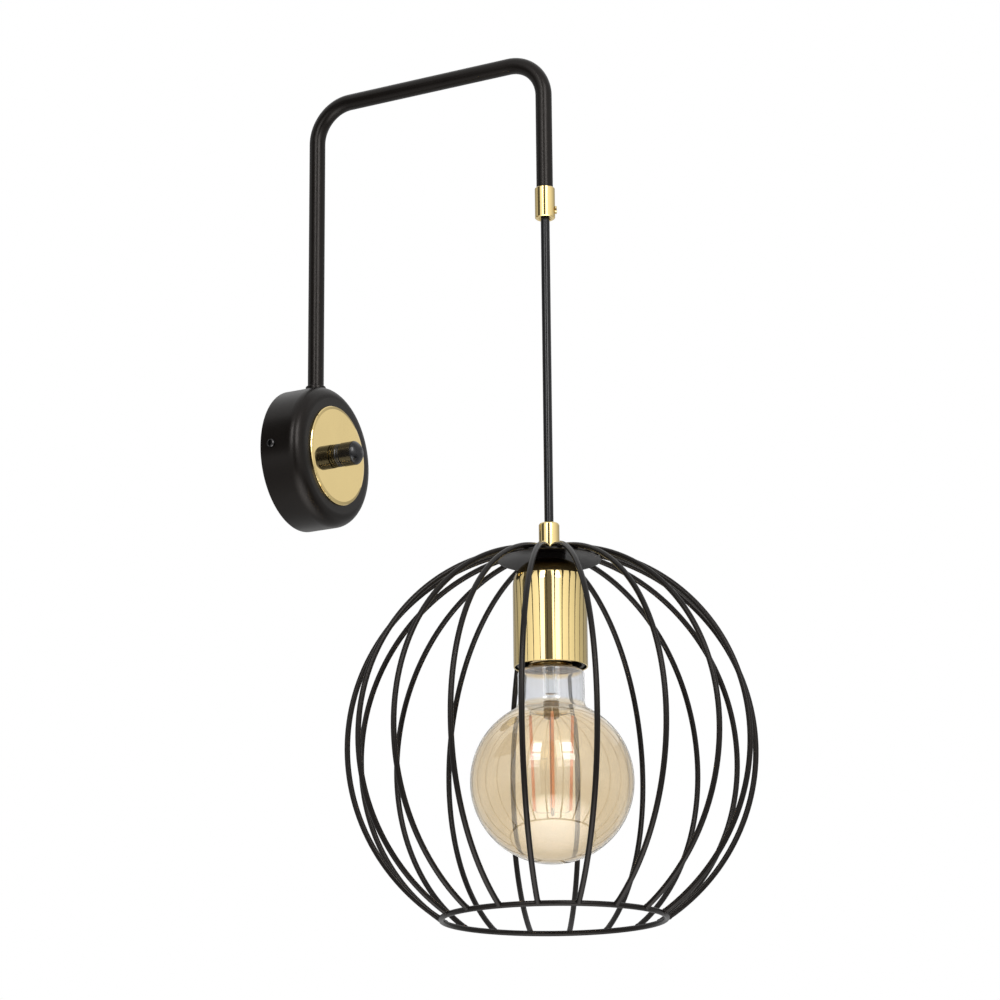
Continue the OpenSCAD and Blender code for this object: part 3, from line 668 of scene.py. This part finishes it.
def stem_glass():
    """Clear glass of the bulb's stem, slightly wavy."""
    made, tree, shader = new_material("clear_glass_finish", {
        "Transmission Weight": 1.0, "IOR": 1.45, "Roughness": 0.0,
        "Base Color": (0.97, 0.98, 0.98, 1),
    })
    bump(tree, shader, noise(tree, surface_place(tree), 90, 1), 0.06 * MM)
    return made


def strip_coating():
    """Orange coating over the light strips, a little uneven."""
    made, tree, shader = new_material("strip_coating",
                                      {"Specular IOR Level": 0.3, "Roughness": 0.55})
    grain = use(tree, POWDER_GRAIN, {"Scale": 1200, "Shade Range": 0.6})
    orange = shaded(tree, (1.0, 0.42, 0.20), grain.outputs["Shade"])
    tree.links.new(orange, shader.inputs["Base Color"])
    bump(tree, shader, grain.outputs["Height"], 0.03 * MM)
    return made


COAT_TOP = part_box("bulb_stem")[0].z
CAP_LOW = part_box("bulb_cap")[0].z
BROWN = (0.11, 0.05, 0.022, 1)
BLUE = (0.02, 0.08, 0.30, 1)

FINISHES = {
    "black_paint": coated("black_paint_finish", (0.0048, 0.0034, 0.0026), 0.28, 0.34,
                          1500, 0.0016 * MM,
                          {"Specular IOR Level": 0.2, "Specular Tint": (1.0, 0.94, 0.9, 1)}),
    "brass": metal("brass_finish", (0.80, 0.62, 0.28), 0.04, 0.08),
    "contact_brass": metal("contact_brass_finish", (0.70, 0.52, 0.25), 0.22, 0.36),
    "zinc": zinc_plate(),
    "black_screw": metal("black_screw_finish", (0.05, 0.048, 0.048), 0.1, 0.16),
    "knob": coated("knob_finish", (0.005, 0.005, 0.007), 0.2, 0.25, 900, 0.0004 * MM,
                   {"Specular IOR Level": 0.42}),
    "black_plastic": coated("black_plastic_finish", (0.012, 0.012, 0.012), 0.4, 0.5,
                            1200, 0.01 * MM, {"Specular IOR Level": 0.4}),
    "white_plastic": coated("white_plastic_finish", (0.80, 0.78, 0.70), 0.35, 0.45,
                            1000, 0.006 * MM, {"Specular IOR Level": 0.45}),
    "cable": coated("cable_finish", (0.008, 0.008, 0.009), 0.13, 0.19, 2200, 0.001 * MM,
                    {"Specular IOR Level": 0.26}),
    "leads": two_leads("lead_finish", BROWN, BLUE),
    "bulb_cap_metal": metal("bulb_cap_finish", (0.74, 0.60, 0.36), 0.16, 0.28),
    "bulb_black": coated("bulb_black_finish", (0.006, 0.006, 0.006), 0.05, 0.1,
                         300, 0.001 * MM, {"Specular IOR Level": 0.5}),
    "amber_glass": bulb_glass(),
    "clear_glass": stem_glass(),
    "light_strip": strip_coating(),
}
PINCH_GLASS = coated("pinch_glass_finish", (0.36, 0.24, 0.10), 0.08, 0.14, 500, 0.06 * MM,
                     {"Transmission Weight": 0.35, "IOR": 1.5})
FINISH_OF_NODE = {"holder_leads": two_leads("holder_lead_finish", BLUE, BROWN)}


# ---- Putting pieces in their nodes' places ----

def stand_for(piece, node_name):
    """The piece takes its node's place, body, material slot and finish."""
    slot = SLOT_OF[node_name]
    piece.data.materials.clear()
    piece.data.materials.append(FINISHES[slot])
    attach(piece, BODY_OF[node_name])
    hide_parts(node_name)
    return piece


def turned_piece(name, node_name, corners, foot, out_from_wall=False, segments=96):
    """Turned piece with rounded corners in its node's place."""
    stand_for(lathe(name, rounded(corners), foot, out_from_wall, segments), node_name)


def make_copies(name, node_name, pattern, places, facing):
    """Copies of a pattern in a node's place, each turned along its own facing."""
    copies = grow(name, COPIES, {"Pattern": pattern, "Material": FINISHES[SLOT_OF[node_name]]},
                  points=places, facing=facing)
    bpy.data.objects.remove(pattern)
    stand_for(copies, node_name)


def make_cable():
    """The cable in view and down to its end in the ferrule, straight under the pendant's weight."""
    low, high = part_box("pendant_cable")
    exit_point = on_pendant((PIVOT_LOW.z + PIVOT_HIGH.z) / 2)
    end_point = on_pendant(low.z)
    spans = 20
    route = [exit_point.lerp(end_point, i / spans) for i in range(spans + 1)]
    thickness = high.x - low.x
    cable = stand_for(round_bar("cable_sheath", route, thickness / 2, 40), "pendant_cable")


# ---- Wall base and switch ----

def make_base_shell():
    """Drawn steel cap with a rounded front edge and a lightly rounded back rim."""
    low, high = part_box("base_shell")
    outer_r, front = high.x, -low.y
    inner_r, inner_front = outer_r - BASE_WALL, front - BASE_WALL
    rim_r = 0.4 * MM
    turned_piece("base_cover", "base_shell", [
        (outer_r, 0, rim_r), (outer_r, front, BASE_EDGE_R), (NECK_HOLE_R, front, 0),
        (NECK_HOLE_R, inner_front, 0), (inner_r, inner_front, BASE_EDGE_R - BASE_WALL),
        (inner_r, 0, rim_r),
    ], ORIGIN, True, 160)


def make_brass_disc():
    """Polished disc whose rim is turned down a little and ends in a narrow bevel."""
    low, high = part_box("brass_disc")
    back, front, outer_r = -high.y, -low.y, high.x
    bevel, rim_w, rim_drop = 0.4 * MM, 1.9 * MM, 0.3 * MM
    turned_piece("front_disc", "brass_disc", [
        (outer_r, back, 0.1 * MM), (outer_r, front - rim_drop - bevel, 0.12 * MM),
        (outer_r - bevel, front - rim_drop, 0.2 * MM), (outer_r - rim_w, front, 4 * MM),
        (NECK_HOLE_R, front, 0), (NECK_HOLE_R, back, 0),
    ], ORIGIN, True, 160)


def make_ring_nut():
    """Round nut with a groove round its middle."""
    low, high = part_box("ring_nut")
    back, front, outer_r = -high.y, -low.y, high.x
    middle = (back + front) / 2
    groove = 0.5 * MM
    turned_piece("switch_ring_nut", "ring_nut", [
        (outer_r, back, 0.35 * MM), (outer_r, middle - groove, 0.15 * MM),
        (outer_r - groove, middle, 0.2 * MM), (outer_r, middle + groove, 0.15 * MM),
        (outer_r, front, 0.45 * MM), (THREAD_BORE_R, front, 0.2 * MM), (THREAD_BORE_R, back, 0),
    ], ORIGIN, True)


def make_knob():
    """Glossy knob with a domed end and the bore for its spindle."""
    low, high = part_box("switch_knob")
    back, front, outer_r = -high.y, -low.y, high.x
    dome_r, bore_r, bore_depth = 8.6 * MM, 3.05 * MM, 6.05 * MM
    dome = arc_points(front - dome_r, dome_r, 0, outer_r - 0.25 * MM, 14)
    side_top = front - dome_r + math.sqrt(dome_r ** 2 - outer_r ** 2)
    side = rounded([
        (outer_r, side_top - 0.2 * MM, 0.1 * MM), (outer_r, back, 0.5 * MM),
        (bore_r, back, 0.15 * MM), (bore_r, back + bore_depth, 0), (0, back + bore_depth, 0),
    ])
    stand_for(lathe("rotary_knob", dome + side, ORIGIN, True), "switch_knob")


# ---- Arm ----

def make_arm_tube():
    """Tube bent twice, from inside the base up, out and down into the collar."""
    low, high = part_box("arm_tube")
    outer_r = high.x
    top = high.z - outer_r
    collar_bore_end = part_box("arm_collar")[1].z - 8 * MM
    rise, fall = RISING_TUBE.y, PENDANT.y
    corners = [
        Vector((0, rise, low.z)), Vector((0, rise, top)),
        Vector((0, fall, top)), Vector((0, fall, collar_bore_end)),
    ]
    tube = hollow_tube("bent_tube", bent_path(corners, TUBE_BEND_R), outer_r, outer_r - TUBE_WALL)
    stand_for(tube, "arm_tube")


def make_arm_flange():
    """Ring round the tube where it enters the base."""
    outer_r, top = FLANGE_HIGH.x, FLANGE_HIGH.z
    bottom = 43.4 * MM
    turned_piece("tube_flange", "arm_flange", [
        (outer_r, bottom, 0), (outer_r, top, 0.6 * MM), (THREAD_BORE_R, top, 0.2 * MM),
        (THREAD_BORE_R, bottom, 0),
    ], RISING_TUBE)


def make_arm_collar():
    """Brass collar: the tube goes in at the top, and the cable leaves through a flared mouth."""
    low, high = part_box("arm_collar")
    outer_r = high.x
    chamfer, mouth = 0.5 * MM, 1.2 * MM
    seat = high.z - 8.05 * MM
    turned_piece("cable_collar", "arm_collar", [
        (outer_r - chamfer, low.z, 0.15 * MM), (outer_r, low.z + chamfer, 0.15 * MM),
        (outer_r, high.z - chamfer, 0.15 * MM), (outer_r - chamfer, high.z, 0.15 * MM),
        (THREAD_BORE_R, high.z, 0.1 * MM), (THREAD_BORE_R, seat, 0), (CABLE_HOLE_R, seat, 0),
        (CABLE_HOLE_R, low.z + mouth, 0.4 * MM), (CABLE_HOLE_R + mouth, low.z, 0.15 * MM),
    ], PENDANT)


# ---- Cage ----

def make_ferrule():
    """Brass ferrule with a rounded shoulder, on the cage's nipple."""
    low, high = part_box("ferrule")
    outer_r = high.x
    nipple_top = low.z + 8.1 * MM
    turned_piece("cage_ferrule", "ferrule", [
        (outer_r, low.z, 0.15 * MM), (outer_r, high.z, 1.4 * MM),
        (CABLE_HOLE_R, high.z, 0.3 * MM), (CABLE_HOLE_R, nipple_top, 0),
        (THREAD_BORE_R, nipple_top, 0), (THREAD_BORE_R, low.z, 0),
    ], PENDANT)


def ball_of_cage():
    """Centre height, radius to the wires' axis, radius of the wire, and radius of the plate's
    upper side, on which the wires are welded."""
    ring_low, ring_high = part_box("cage_ring")
    wire_r = (ring_high.z - ring_low.z) / 2
    axis_r = 118.35 * MM
    plate_r = axis_r - wire_r - WELD_GAP
    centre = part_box("cage_plate")[1].z - math.sqrt(plate_r ** 2 - NECK_HOLE_R ** 2)
    return centre, axis_r, wire_r, plate_r


def make_cage_plate():
    """Domed plate under the wires' upper ends, with a softened edge."""
    centre, _, _, plate_r = ball_of_cage()
    edge_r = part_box("cage_plate")[1].x
    ease = 0.3 * MM
    top = arc_points(centre, plate_r, NECK_HOLE_R, edge_r - ease, 24)
    bottom = arc_points(centre, plate_r - PLATE_WALL, edge_r - ease, NECK_HOLE_R, 24)
    edge = [(edge_r, top[-1][1] - 1.5 * ease), (edge_r, bottom[0][1] + ease / 2)]
    stand_for(lathe("wire_plate", top + edge + bottom, PENDANT, segments=128), "cage_plate")


def make_cage_wires():
    """The upright wires and the ring that they end on."""
    centre, axis_r, wire_r, _ = ball_of_cage()
    ring_low, ring_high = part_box("cage_ring")
    ring_height = (ring_low.z + ring_high.z) / 2
    ring_r = ring_high.x - wire_r
    count = 18
    gap_at_top = 0.2 * MM
    upper_end_r = count * (2 * wire_r + gap_at_top) / (2 * math.pi)
    ring_angle = math.asin((ring_height - centre) / axis_r)
    wires = grow("ball_wires", cage_wire_tree(), {
        "Count": count, "Ball Radius": axis_r, "Wire Radius": wire_r,
        "Lower Angle": ring_angle + wire_r / axis_r,
        "Upper Angle": math.acos(upper_end_r / axis_r), "Bead Share": 1.12,
        "Centre": on_pendant(centre), "Material": FINISHES["black_paint"],
    })
    stand_for(wires, "cage_wires")
    ring = grow("bottom_ring", wire_ring_tree(), {
        "Ring Radius": ring_r, "Wire Radius": wire_r, "Centre": on_pendant(ring_height),
        "Material": FINISHES["black_paint"],
    })
    stand_for(ring, "cage_ring")


def make_spacer():
    """Black spacer between the plate and the cup."""
    low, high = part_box("plate_spacer")
    edge_r = 0.3 * MM
    turned_piece("cup_spacer", "plate_spacer", [
        (high.x, low.z, edge_r), (high.x, high.z, edge_r), (NECK_HOLE_R, high.z, 0),
        (NECK_HOLE_R, low.z, 0),
    ], PENDANT)


# ---- Cup and lampholder ----

def make_lamp_cup():
    """Spun brass cup with a rounded shoulder."""
    low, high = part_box("lamp_cup")
    outer_r, top = high.x, high.z
    inner_r, inner_top = outer_r - CUP_WALL, top - CUP_WALL
    lip_r = 0.25 * MM
    turned_piece("brass_cup", "lamp_cup", [
        (outer_r, low.z, lip_r), (outer_r, top, CUP_SHOULDER_R), (NECK_HOLE_R, top, 0),
        (NECK_HOLE_R, inner_top, 0), (inner_r, inner_top, CUP_SHOULDER_R - CUP_WALL),
        (inner_r, low.z, lip_r),
    ], PENDANT, segments=144)


def make_holder_body():
    """Lower housing of the lampholder, its rim just inside the cup's mouth."""
    low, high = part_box("holder_body")
    inner_r = high.x - HOLDER_WALL
    turned_piece("holder_housing", "holder_body", [
        (high.x, low.z, 0.5 * MM), (high.x, high.z, 0.2 * MM), (inner_r, high.z, 0),
        (inner_r, low.z, 0.5 * MM),
    ], PENDANT)


def make_screw_shell():
    """Threaded brass shell that the bulb screws into."""
    low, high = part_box("screw_shell")
    depth = 0.18 * MM
    shell = screw_thread("threaded_shell", PENDANT, high.x - depth, depth, 0.3 * MM, low.z, high.z)
    stand_for(shell, "screw_shell")


# ---- Bulb ----

def make_bulb_cap():
    """The bulb's rolled screw thread, open where the glass goes in."""
    low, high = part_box("bulb_cap")
    depth = 0.45 * MM
    cap = screw_thread("bulb_thread_shell", PENDANT, high.x - depth, depth, 0.5 * MM, low.z, high.z)
    stand_for(cap, "bulb_cap")


def bulb_outline(inset):
    """Outer or inner line of the glass, from the neck in the cap down to the globe's bottom."""
    low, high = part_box("bulb_glass")
    globe_r = high.x - inset
    globe_height = low.z + high.x
    neck_r = 19.5 * MM - inset
    neck_top_r = 10.8 * MM - inset
    shoulder = CAP_LOW - 4 * MM
    blend_r = GLOBE_NECK_BLEND_R + inset
    reach_r = neck_r + blend_r
    blend_height = globe_height + math.sqrt((globe_r + blend_r) ** 2 - reach_r ** 2)
    touch = math.asin(reach_r / (globe_r + blend_r))
    neck = [Vector(p).to_3d() for p in (
        (neck_top_r, high.z), (neck_top_r, CAP_LOW - 0.5 * MM),
        (neck_r, shoulder + 0.8 * MM), (neck_r, blend_height),
    )]
    points = [neck[0]]
    points += fillet(neck[0], neck[1], neck[2], 1.5 * MM)
    points += fillet(neck[1], neck[2], neck[3], 2.6 * MM - inset)
    blend_steps = 10
    for i in range(blend_steps + 1):
        angle = (math.pi / 2 - touch) * i / blend_steps
        points.append(Vector((reach_r - blend_r * math.cos(angle),
                              blend_height - blend_r * math.sin(angle), 0)))
    globe_steps = 64
    for i in range(1, globe_steps + 1):
        angle = touch + (math.pi - touch) * i / globe_steps
        points.append(Vector((globe_r * math.sin(angle),
                              globe_height + globe_r * math.cos(angle), 0)))
    outline = [(max(0, p.x), p.y) for p in points]
    outline[-1] = (0, outline[-1][1])
    return outline


def make_bulb_glass():
    """Glass with a real wall: neck, round blend and globe."""
    outline = bulb_outline(0) + list(reversed(bulb_outline(GLASS_WALL)))
    stand_for(lathe("bulb_globe", outline, PENDANT, segments=160), "bulb_glass")


def make_bulb_stem():
    """Hollow glass stem, flared where it seals the neck, and closed and rounded at its lower end.
    """
    low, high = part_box("bulb_stem")
    stem_r, bore_r, flare_r = 4 * MM, 2.6 * MM, high.x
    flare_low = high.z - 5 * MM
    turned_piece("glass_stem", "bulb_stem", [
        (0, low.z, 0), (stem_r, low.z, 1.2 * MM), (stem_r, flare_low, 3 * MM),
        (flare_r, high.z, 0.3 * MM),
        (flare_r - 1.2 * MM, high.z, 0.3 * MM), (bore_r, flare_low + 1 * MM, 1 * MM),
        (bore_r, low.z + 5 * MM, 1 * MM), (0, low.z + 4 * MM, 0),
    ], PENDANT, segments=64)


def strip_places():
    """For each light strip, its upper and lower end."""
    low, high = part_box("light_strips")
    count = 4
    turn = math.radians(30)
    top_r, low_r = 12.3 * MM, 10.5 * MM
    places = []
    for i in range(count):
        angle = turn + 2 * math.pi * i / count
        places.append((PENDANT + polar(top_r, angle, high.z),
                       PENDANT + polar(low_r, angle, low.z)))
    return places


def make_light_strips():
    """Long coated strips, each a copy of one rounded bar."""
    places = strip_places()
    bar_r = 0.9 * MM
    length = (places[0][0] - places[0][1]).length
    outline = rounded([(0, 0, 0), (bar_r, 0, 0.5 * MM), (bar_r, length, 0.5 * MM), (0, length, 0)])
    pattern = lathe("strip_pattern", outline, ORIGIN, segments=16)
    make_copies("coated_strips", "light_strips", pattern,
                [bottom for top, bottom in places],
                [(top - bottom).normalized() for top, bottom in places])


def make_strip_wires():
    """Post below the stem, a wire hoop above the strips, and a wire to each end of each strip."""
    low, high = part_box("strip_wires")
    wire_r, post_r = 0.35 * MM, 0.9 * MM
    hoop_points, hoop_r, hoop_up = 24, 12.3 * MM, 2.5 * MM
    root_x, foot_out, foot_down = 1.2 * MM, 8 * MM, 1.2 * MM
    places = strip_places()
    hoop_height = places[0][0].z + hoop_up
    points, edges = [], []

    def wire(*corners):
        start = len(points)
        points.extend(corners)
        edges.extend((start + i, start + i + 1) for i in range(len(corners) - 1))

    hoop = [
        PENDANT + polar(hoop_r, 2 * math.pi * i / hoop_points, hoop_height)
        for i in range(hoop_points)
    ]
    wire(*hoop, hoop[0])
    for top, bottom in places:
        out = (top - PENDANT).xy.to_3d().normalized()
        wire(top + Vector((0, 0, hoop_up)), top)
        foot = on_pendant(bottom.z - foot_down)
        wire(foot, foot + out * foot_out, bottom)
    for side in (-1, 1):
        spoke = Vector((side * hoop_r, 0, 0))
        root = PENDANT + Vector((side * root_x, 0, high.z))
        wire(root, root - Vector((0, 0, 1.5 * MM)), PENDANT + spoke + Vector((0, 0, hoop_height)))
    wires = grow("strip_supports", path_wire_tree(), {
        "Wire Radius": wire_r, "Bend Radius": 1.5 * MM, "Material": FINISHES["zinc"],
    }, points=points, edges=edges)
    stand_for(wires, "strip_wires")
    bead_r, bead_h = 4.6 * MM, 10 * MM
    outline = rounded([
        (0, low.z, 0), (post_r, low.z, 0.5 * MM), (post_r, high.z - bead_h, 0.4 * MM),
        (bead_r, high.z - bead_h + 1 * MM, 0.8 * MM),
        (bead_r, COAT_TOP - 0.6 * MM, 0.5 * MM),
        (0, COAT_TOP - 0.1 * MM, 0),
    ])
    post = lathe("strip_post", outline, PENDANT, segments=40)
    post.data.materials.append(PINCH_GLASS)
    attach(post, BODY_OF["strip_wires"])


# ---- Inside the base ----

def make_base_leads():
    """The two leads from the cable's end, round the switch and into the terminal block."""
    low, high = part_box("base_leads")
    lead_r = 1.2 * MM
    start_y, round_y, block_y = RISING_TUBE.y, RISING_TUBE.y + 2 * MM, -6.05 * MM
    start_x, round_x, pole_x = 1.4 * MM, high.x - lead_r, 8 * MM
    route = [
        (start_x, start_y, high.z), (start_x, start_y, high.z - 3 * MM),
        (round_x, round_y, 11.5 * MM), (round_x, round_y, -7.67 * MM),
        (pole_x, block_y, -14 * MM), (pole_x, block_y, low.z),
    ]
    points, edges = [], []
    for side in (-1, 1):
        start = len(points)
        points += [Vector((side * x, y, z)) for x, y, z in route]
        edges += [(start + i, start + i + 1) for i in range(len(route) - 1)]
    leads = grow("insulated_leads", path_wire_tree(), {
        "Wire Radius": lead_r, "Bend Radius": 5 * MM, "Material": FINISHES["leads"],
    }, points=points, edges=edges)
    stand_for(leads, "base_leads")


def slotted_pattern(head_r, head_h, shank_r, shank_len, edge_r):
    """Screw along its own Z: a slotted head with a rounded edge, and a plain shank below."""
    slot_w = 0.7 * MM
    outline = rounded([
        (0, head_h, 0), (head_r, head_h, edge_r), (head_r, 0, 0.1 * MM), (shank_r, 0, 0),
        (shank_r, -shank_len, 0.2 * MM), (0, -shank_len, 0),
    ])
    screw = lathe("screw_pattern", outline, ORIGIN, segments=48)
    blade = lathe("slot_pattern", [(0, -1), (1, -1), (1, 1), (0, 1)], ORIGIN, segments=4)
    blade.data.transform(Matrix.Rotation(math.radians(45), 4, "Z"))
    reach = head_r * 2
    blade.data.transform(Matrix.Diagonal((
        reach * math.sqrt(2), slot_w / math.sqrt(2), slot_w, 1,
    )))
    blade.data.transform(Matrix.Translation((0, 0, head_h)))
    cut = screw.modifiers.new("slot", "BOOLEAN")
    cut.operation = "DIFFERENCE"
    cut.object = blade
    cut.solver = "EXACT"
    cut_screw = screw.evaluated_get(bpy.context.evaluated_depsgraph_get())
    result = bpy.data.meshes.new_from_object(cut_screw)
    screw.modifiers.remove(cut)
    screw.data = result
    smooth(result)
    bpy.data.objects.remove(blade)
    return screw


def make_side_screws():
    """The two black screws in the base's sides."""
    low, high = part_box("side_screws")
    head_r, head_h = 2.75 * MM, 1.6 * MM
    middle_y = (low.y + high.y) / 2
    seat = high.x - head_h
    pattern = slotted_pattern(head_r, head_h, 1.5 * MM, 4 * MM, 1.3 * MM)
    make_copies("cover_screws", "side_screws", pattern,
                [Vector((side * seat, middle_y, 0)) for side in (-1, 1)],
                [Vector((side, 0, 0)) for side in (-1, 1)])


# ---- Light and backdrop ----

STAGE_CENTRE = Vector((0, -0.09, -0.03))
FLOOR_HEIGHT = -0.9
AMBIENT = 0.65
TENT_FRONT = 1.4
TENT_BACK = 0.45
LOW_GLOW = 3.6
WHITE = (1, 1, 1, 1)
GLOW_ONLY = {"Base Color": (0, 0, 0, 1), "Specular IOR Level": 0, "Emission Color": WHITE}


def glowing(name, strength):
    """White glow that lamps don't change."""
    return new_material(name, {**GLOW_ONLY, "Emission Strength": strength})[0]


def floor_material():
    """Pale floor. Reflections also see a wide soft light low in front of the object there."""
    spot_r, spot_out = 1.1, 0.45
    made, tree, shader = new_material("floor_white", {
        "Base Color": (0.86, 0.86, 0.86, 1), "Roughness": 0.9, "Emission Color": WHITE,
    })
    middle = PENDANT + around_camera(3, 0) * spot_out
    middle.z = FLOOR_HEIGHT
    away = node(tree, "ShaderNodeVectorMath", {0: surface_place(tree), 1: middle},
                operation="DISTANCE")
    spot = remap(tree, away.outputs["Value"], spot_r, 0, 0, LOW_GLOW, "SMOOTHSTEP")
    mirrored = node(tree, "ShaderNodeLightPath").outputs["Is Glossy Ray"]
    glow = maths(tree, "MULTIPLY", spot, mirrored)
    tree.links.new(glow, shader.inputs["Emission Strength"])
    return made


def make_floor():
    """Pale floor, well below the light."""
    half = 6.0
    mesh = bpy.data.meshes.new("floor")
    corners = [(-half, -half), (half, -half), (half, half), (-half, half)]
    mesh.from_pydata([(x, y, FLOOR_HEIGHT) for x, y in corners], [], [(0, 1, 2, 3)])
    floor = new_object("floor", mesh)
    mesh.materials.append(floor_material())


def around_camera(angle, elevation):
    """Direction from the light: an angle to the right of the camera's side, and one above level."""
    forward = camera_axes()[2]
    toward = -forward.xy.to_3d().normalized()
    sideways = Vector((0, 0, 1)).cross(toward)
    turned, raised = math.radians(angle), math.radians(elevation)
    level = toward * math.cos(turned) + sideways * math.sin(turned)
    return level * math.cos(raised) + Vector((0, 0, math.sin(raised)))


def make_card(name, centre, middle, spread, radius, low, high, material):
    """Curved upright card that only reflections see, spread to both sides of its middle."""
    steps = max(8, round(spread / 4))
    points, faces = [], []
    for i in range(steps + 1):
        place = centre + around_camera(middle - spread + 2 * spread * i / steps, 0) * radius
        for height in (low, high):
            points.append(Vector((place.x, place.y, height)))
    for i in range(steps):
        faces.append((2 * i, 2 * i + 2, 2 * i + 3, 2 * i + 1))
    mesh = bpy.data.meshes.new(name)
    mesh.from_pydata(points, [], faces)
    mesh.materials.append(material)
    card = new_object(name, mesh)
    for ray in ("camera", "diffuse", "transmission", "volume_scatter", "shadow"):
        setattr(card, f"visible_{ray}", False)


def tent_material(radius, top):
    """Glow of the tent's inside: brightest beside the camera, and at its lower and upper edge as
    bright as the floor and the sky."""
    made, tree, shader = new_material("tent_white", GLOW_ONLY)
    floor_level, sky_level = 0.75, 1
    back_end, front_end, sky_from = -0.6 * radius, 0.85 * radius, 0.5 * top
    place = surface_place(tree)
    from_middle = node(tree, "ShaderNodeVectorMath", {0: place, 1: STAGE_CENTRE},
                       operation="SUBTRACT").outputs[0]
    along = node(tree, "ShaderNodeVectorMath", {0: from_middle, 1: around_camera(0, 0)},
                 operation="DOT_PRODUCT").outputs["Value"]
    height = node(tree, "ShaderNodeSeparateXYZ", {0: place}).outputs["Z"]
    around = remap(tree, along, back_end, front_end, TENT_BACK, TENT_FRONT)
    above_floor = remap(tree, height, FLOOR_HEIGHT, 0, floor_level, around, "SMOOTHSTEP")
    below_sky = remap(tree, height, sky_from, top, above_floor, sky_level, "SMOOTHSTEP")
    tree.links.new(below_sky, shader.inputs["Emission Strength"])
    return made


def make_world():
    """White to the camera, to reflections and through glass, and a soft ambient light."""
    world = bpy.data.worlds.new("studio")
    bpy.context.scene.world = world
    world.use_nodes = True
    tree = world.node_tree
    path = node(tree, "ShaderNodeLightPath")
    seen = maths(tree, "MAXIMUM", path.outputs["Is Camera Ray"], path.outputs["Is Glossy Ray"])
    seen = maths(tree, "MAXIMUM", seen, path.outputs["Is Transmission Ray"])
    level = maths(tree, "MULTIPLY_ADD", seen, 1 - AMBIENT, AMBIENT)
    background = tree.nodes["Background"]
    background.inputs["Color"].default_value = WHITE
    tree.links.new(level, background.inputs["Strength"])


def make_lamp(name, angle, elevation, distance, width, height, radiance):
    """Soft box that faces the light from around the camera; radiance is its own brightness."""
    out = around_camera(angle, elevation)
    data = bpy.data.lights.new(name, "AREA")
    data.shape = "RECTANGLE"
    data.size = width
    data.size_y = height
    data.energy = radiance * math.pi * width * height
    lamp = bpy.data.objects.new(name, data)
    bpy.context.scene.collection.objects.link(lamp)
    lamp.location = STAGE_CENTRE + out * distance
    lamp.rotation_euler = out.to_track_quat("Z", "Y").to_euler()
    return lamp


def make_stage():
    """Floor, world, soft boxes on both sides of the camera, a tent and a dark gap at the camera."""
    tent_r, tent_top, window_r = 2.6, 2.4, 1.5
    make_floor()
    make_world()
    make_lamp("right_box", 20, 24, 1.6, 0.6, 1.15, 1.45)
    make_lamp("left_box", -23, 24, 1.6, 0.4, 1.15, 1.45)
    make_lamp("low_box", 3, -50, 1.0, 0.5, 0.5, 1.0).visible_glossy = False
    make_card("tent", STAGE_CENTRE, 0, 180, tent_r, FLOOR_HEIGHT, tent_top,
              tent_material(tent_r, tent_top))
    make_card("camera_gap", STAGE_CENTRE, -3, 11, 1.4, FLOOR_HEIGHT, 1.3,
              glowing("gap_grey", 0.17))
    window = glowing("window_white", 8.0)
    for side, middle, spread in (("right", 22.5, 10), ("left", -24.4, 7)):
        make_card(f"{side}_window_low", PENDANT, middle, spread, window_r, 0.33, 0.63, window)
        make_card(f"{side}_window_high", PENDANT, middle, spread, window_r, 0.72, 1.3, window)
    make_card("disc_card", ORIGIN, 123, 24, 0.7, 0.12, 0.3, glowing("disc_card_white", 0.9))
    make_card("base_card", ORIGIN, -57, 24, 0.35, 0, 0.4, glowing("base_card_grey", 0.12))


# ---- Making everything ----

for make_piece in (
    make_cable, make_base_shell, make_brass_disc, make_ring_nut, make_knob, make_side_screws,
    make_base_leads, make_arm_tube, make_arm_flange, make_arm_collar, make_ferrule,
    make_cage_plate, make_cage_wires, make_spacer, make_lamp_cup, make_holder_body,
    make_screw_shell, make_bulb_cap, make_bulb_glass, make_bulb_stem, make_light_strips,
    make_strip_wires,
):
    make_piece()

for node_name, cad in frame["nodes"].items():
    if not cad.hide_render:
        for material_slot in cad.material_slots:
            material_slot.material = FINISH_OF_NODE.get(node_name, FINISHES[SLOT_OF[node_name]])

make_stage()

bpy.context.scene.view_settings.view_transform = "Standard"
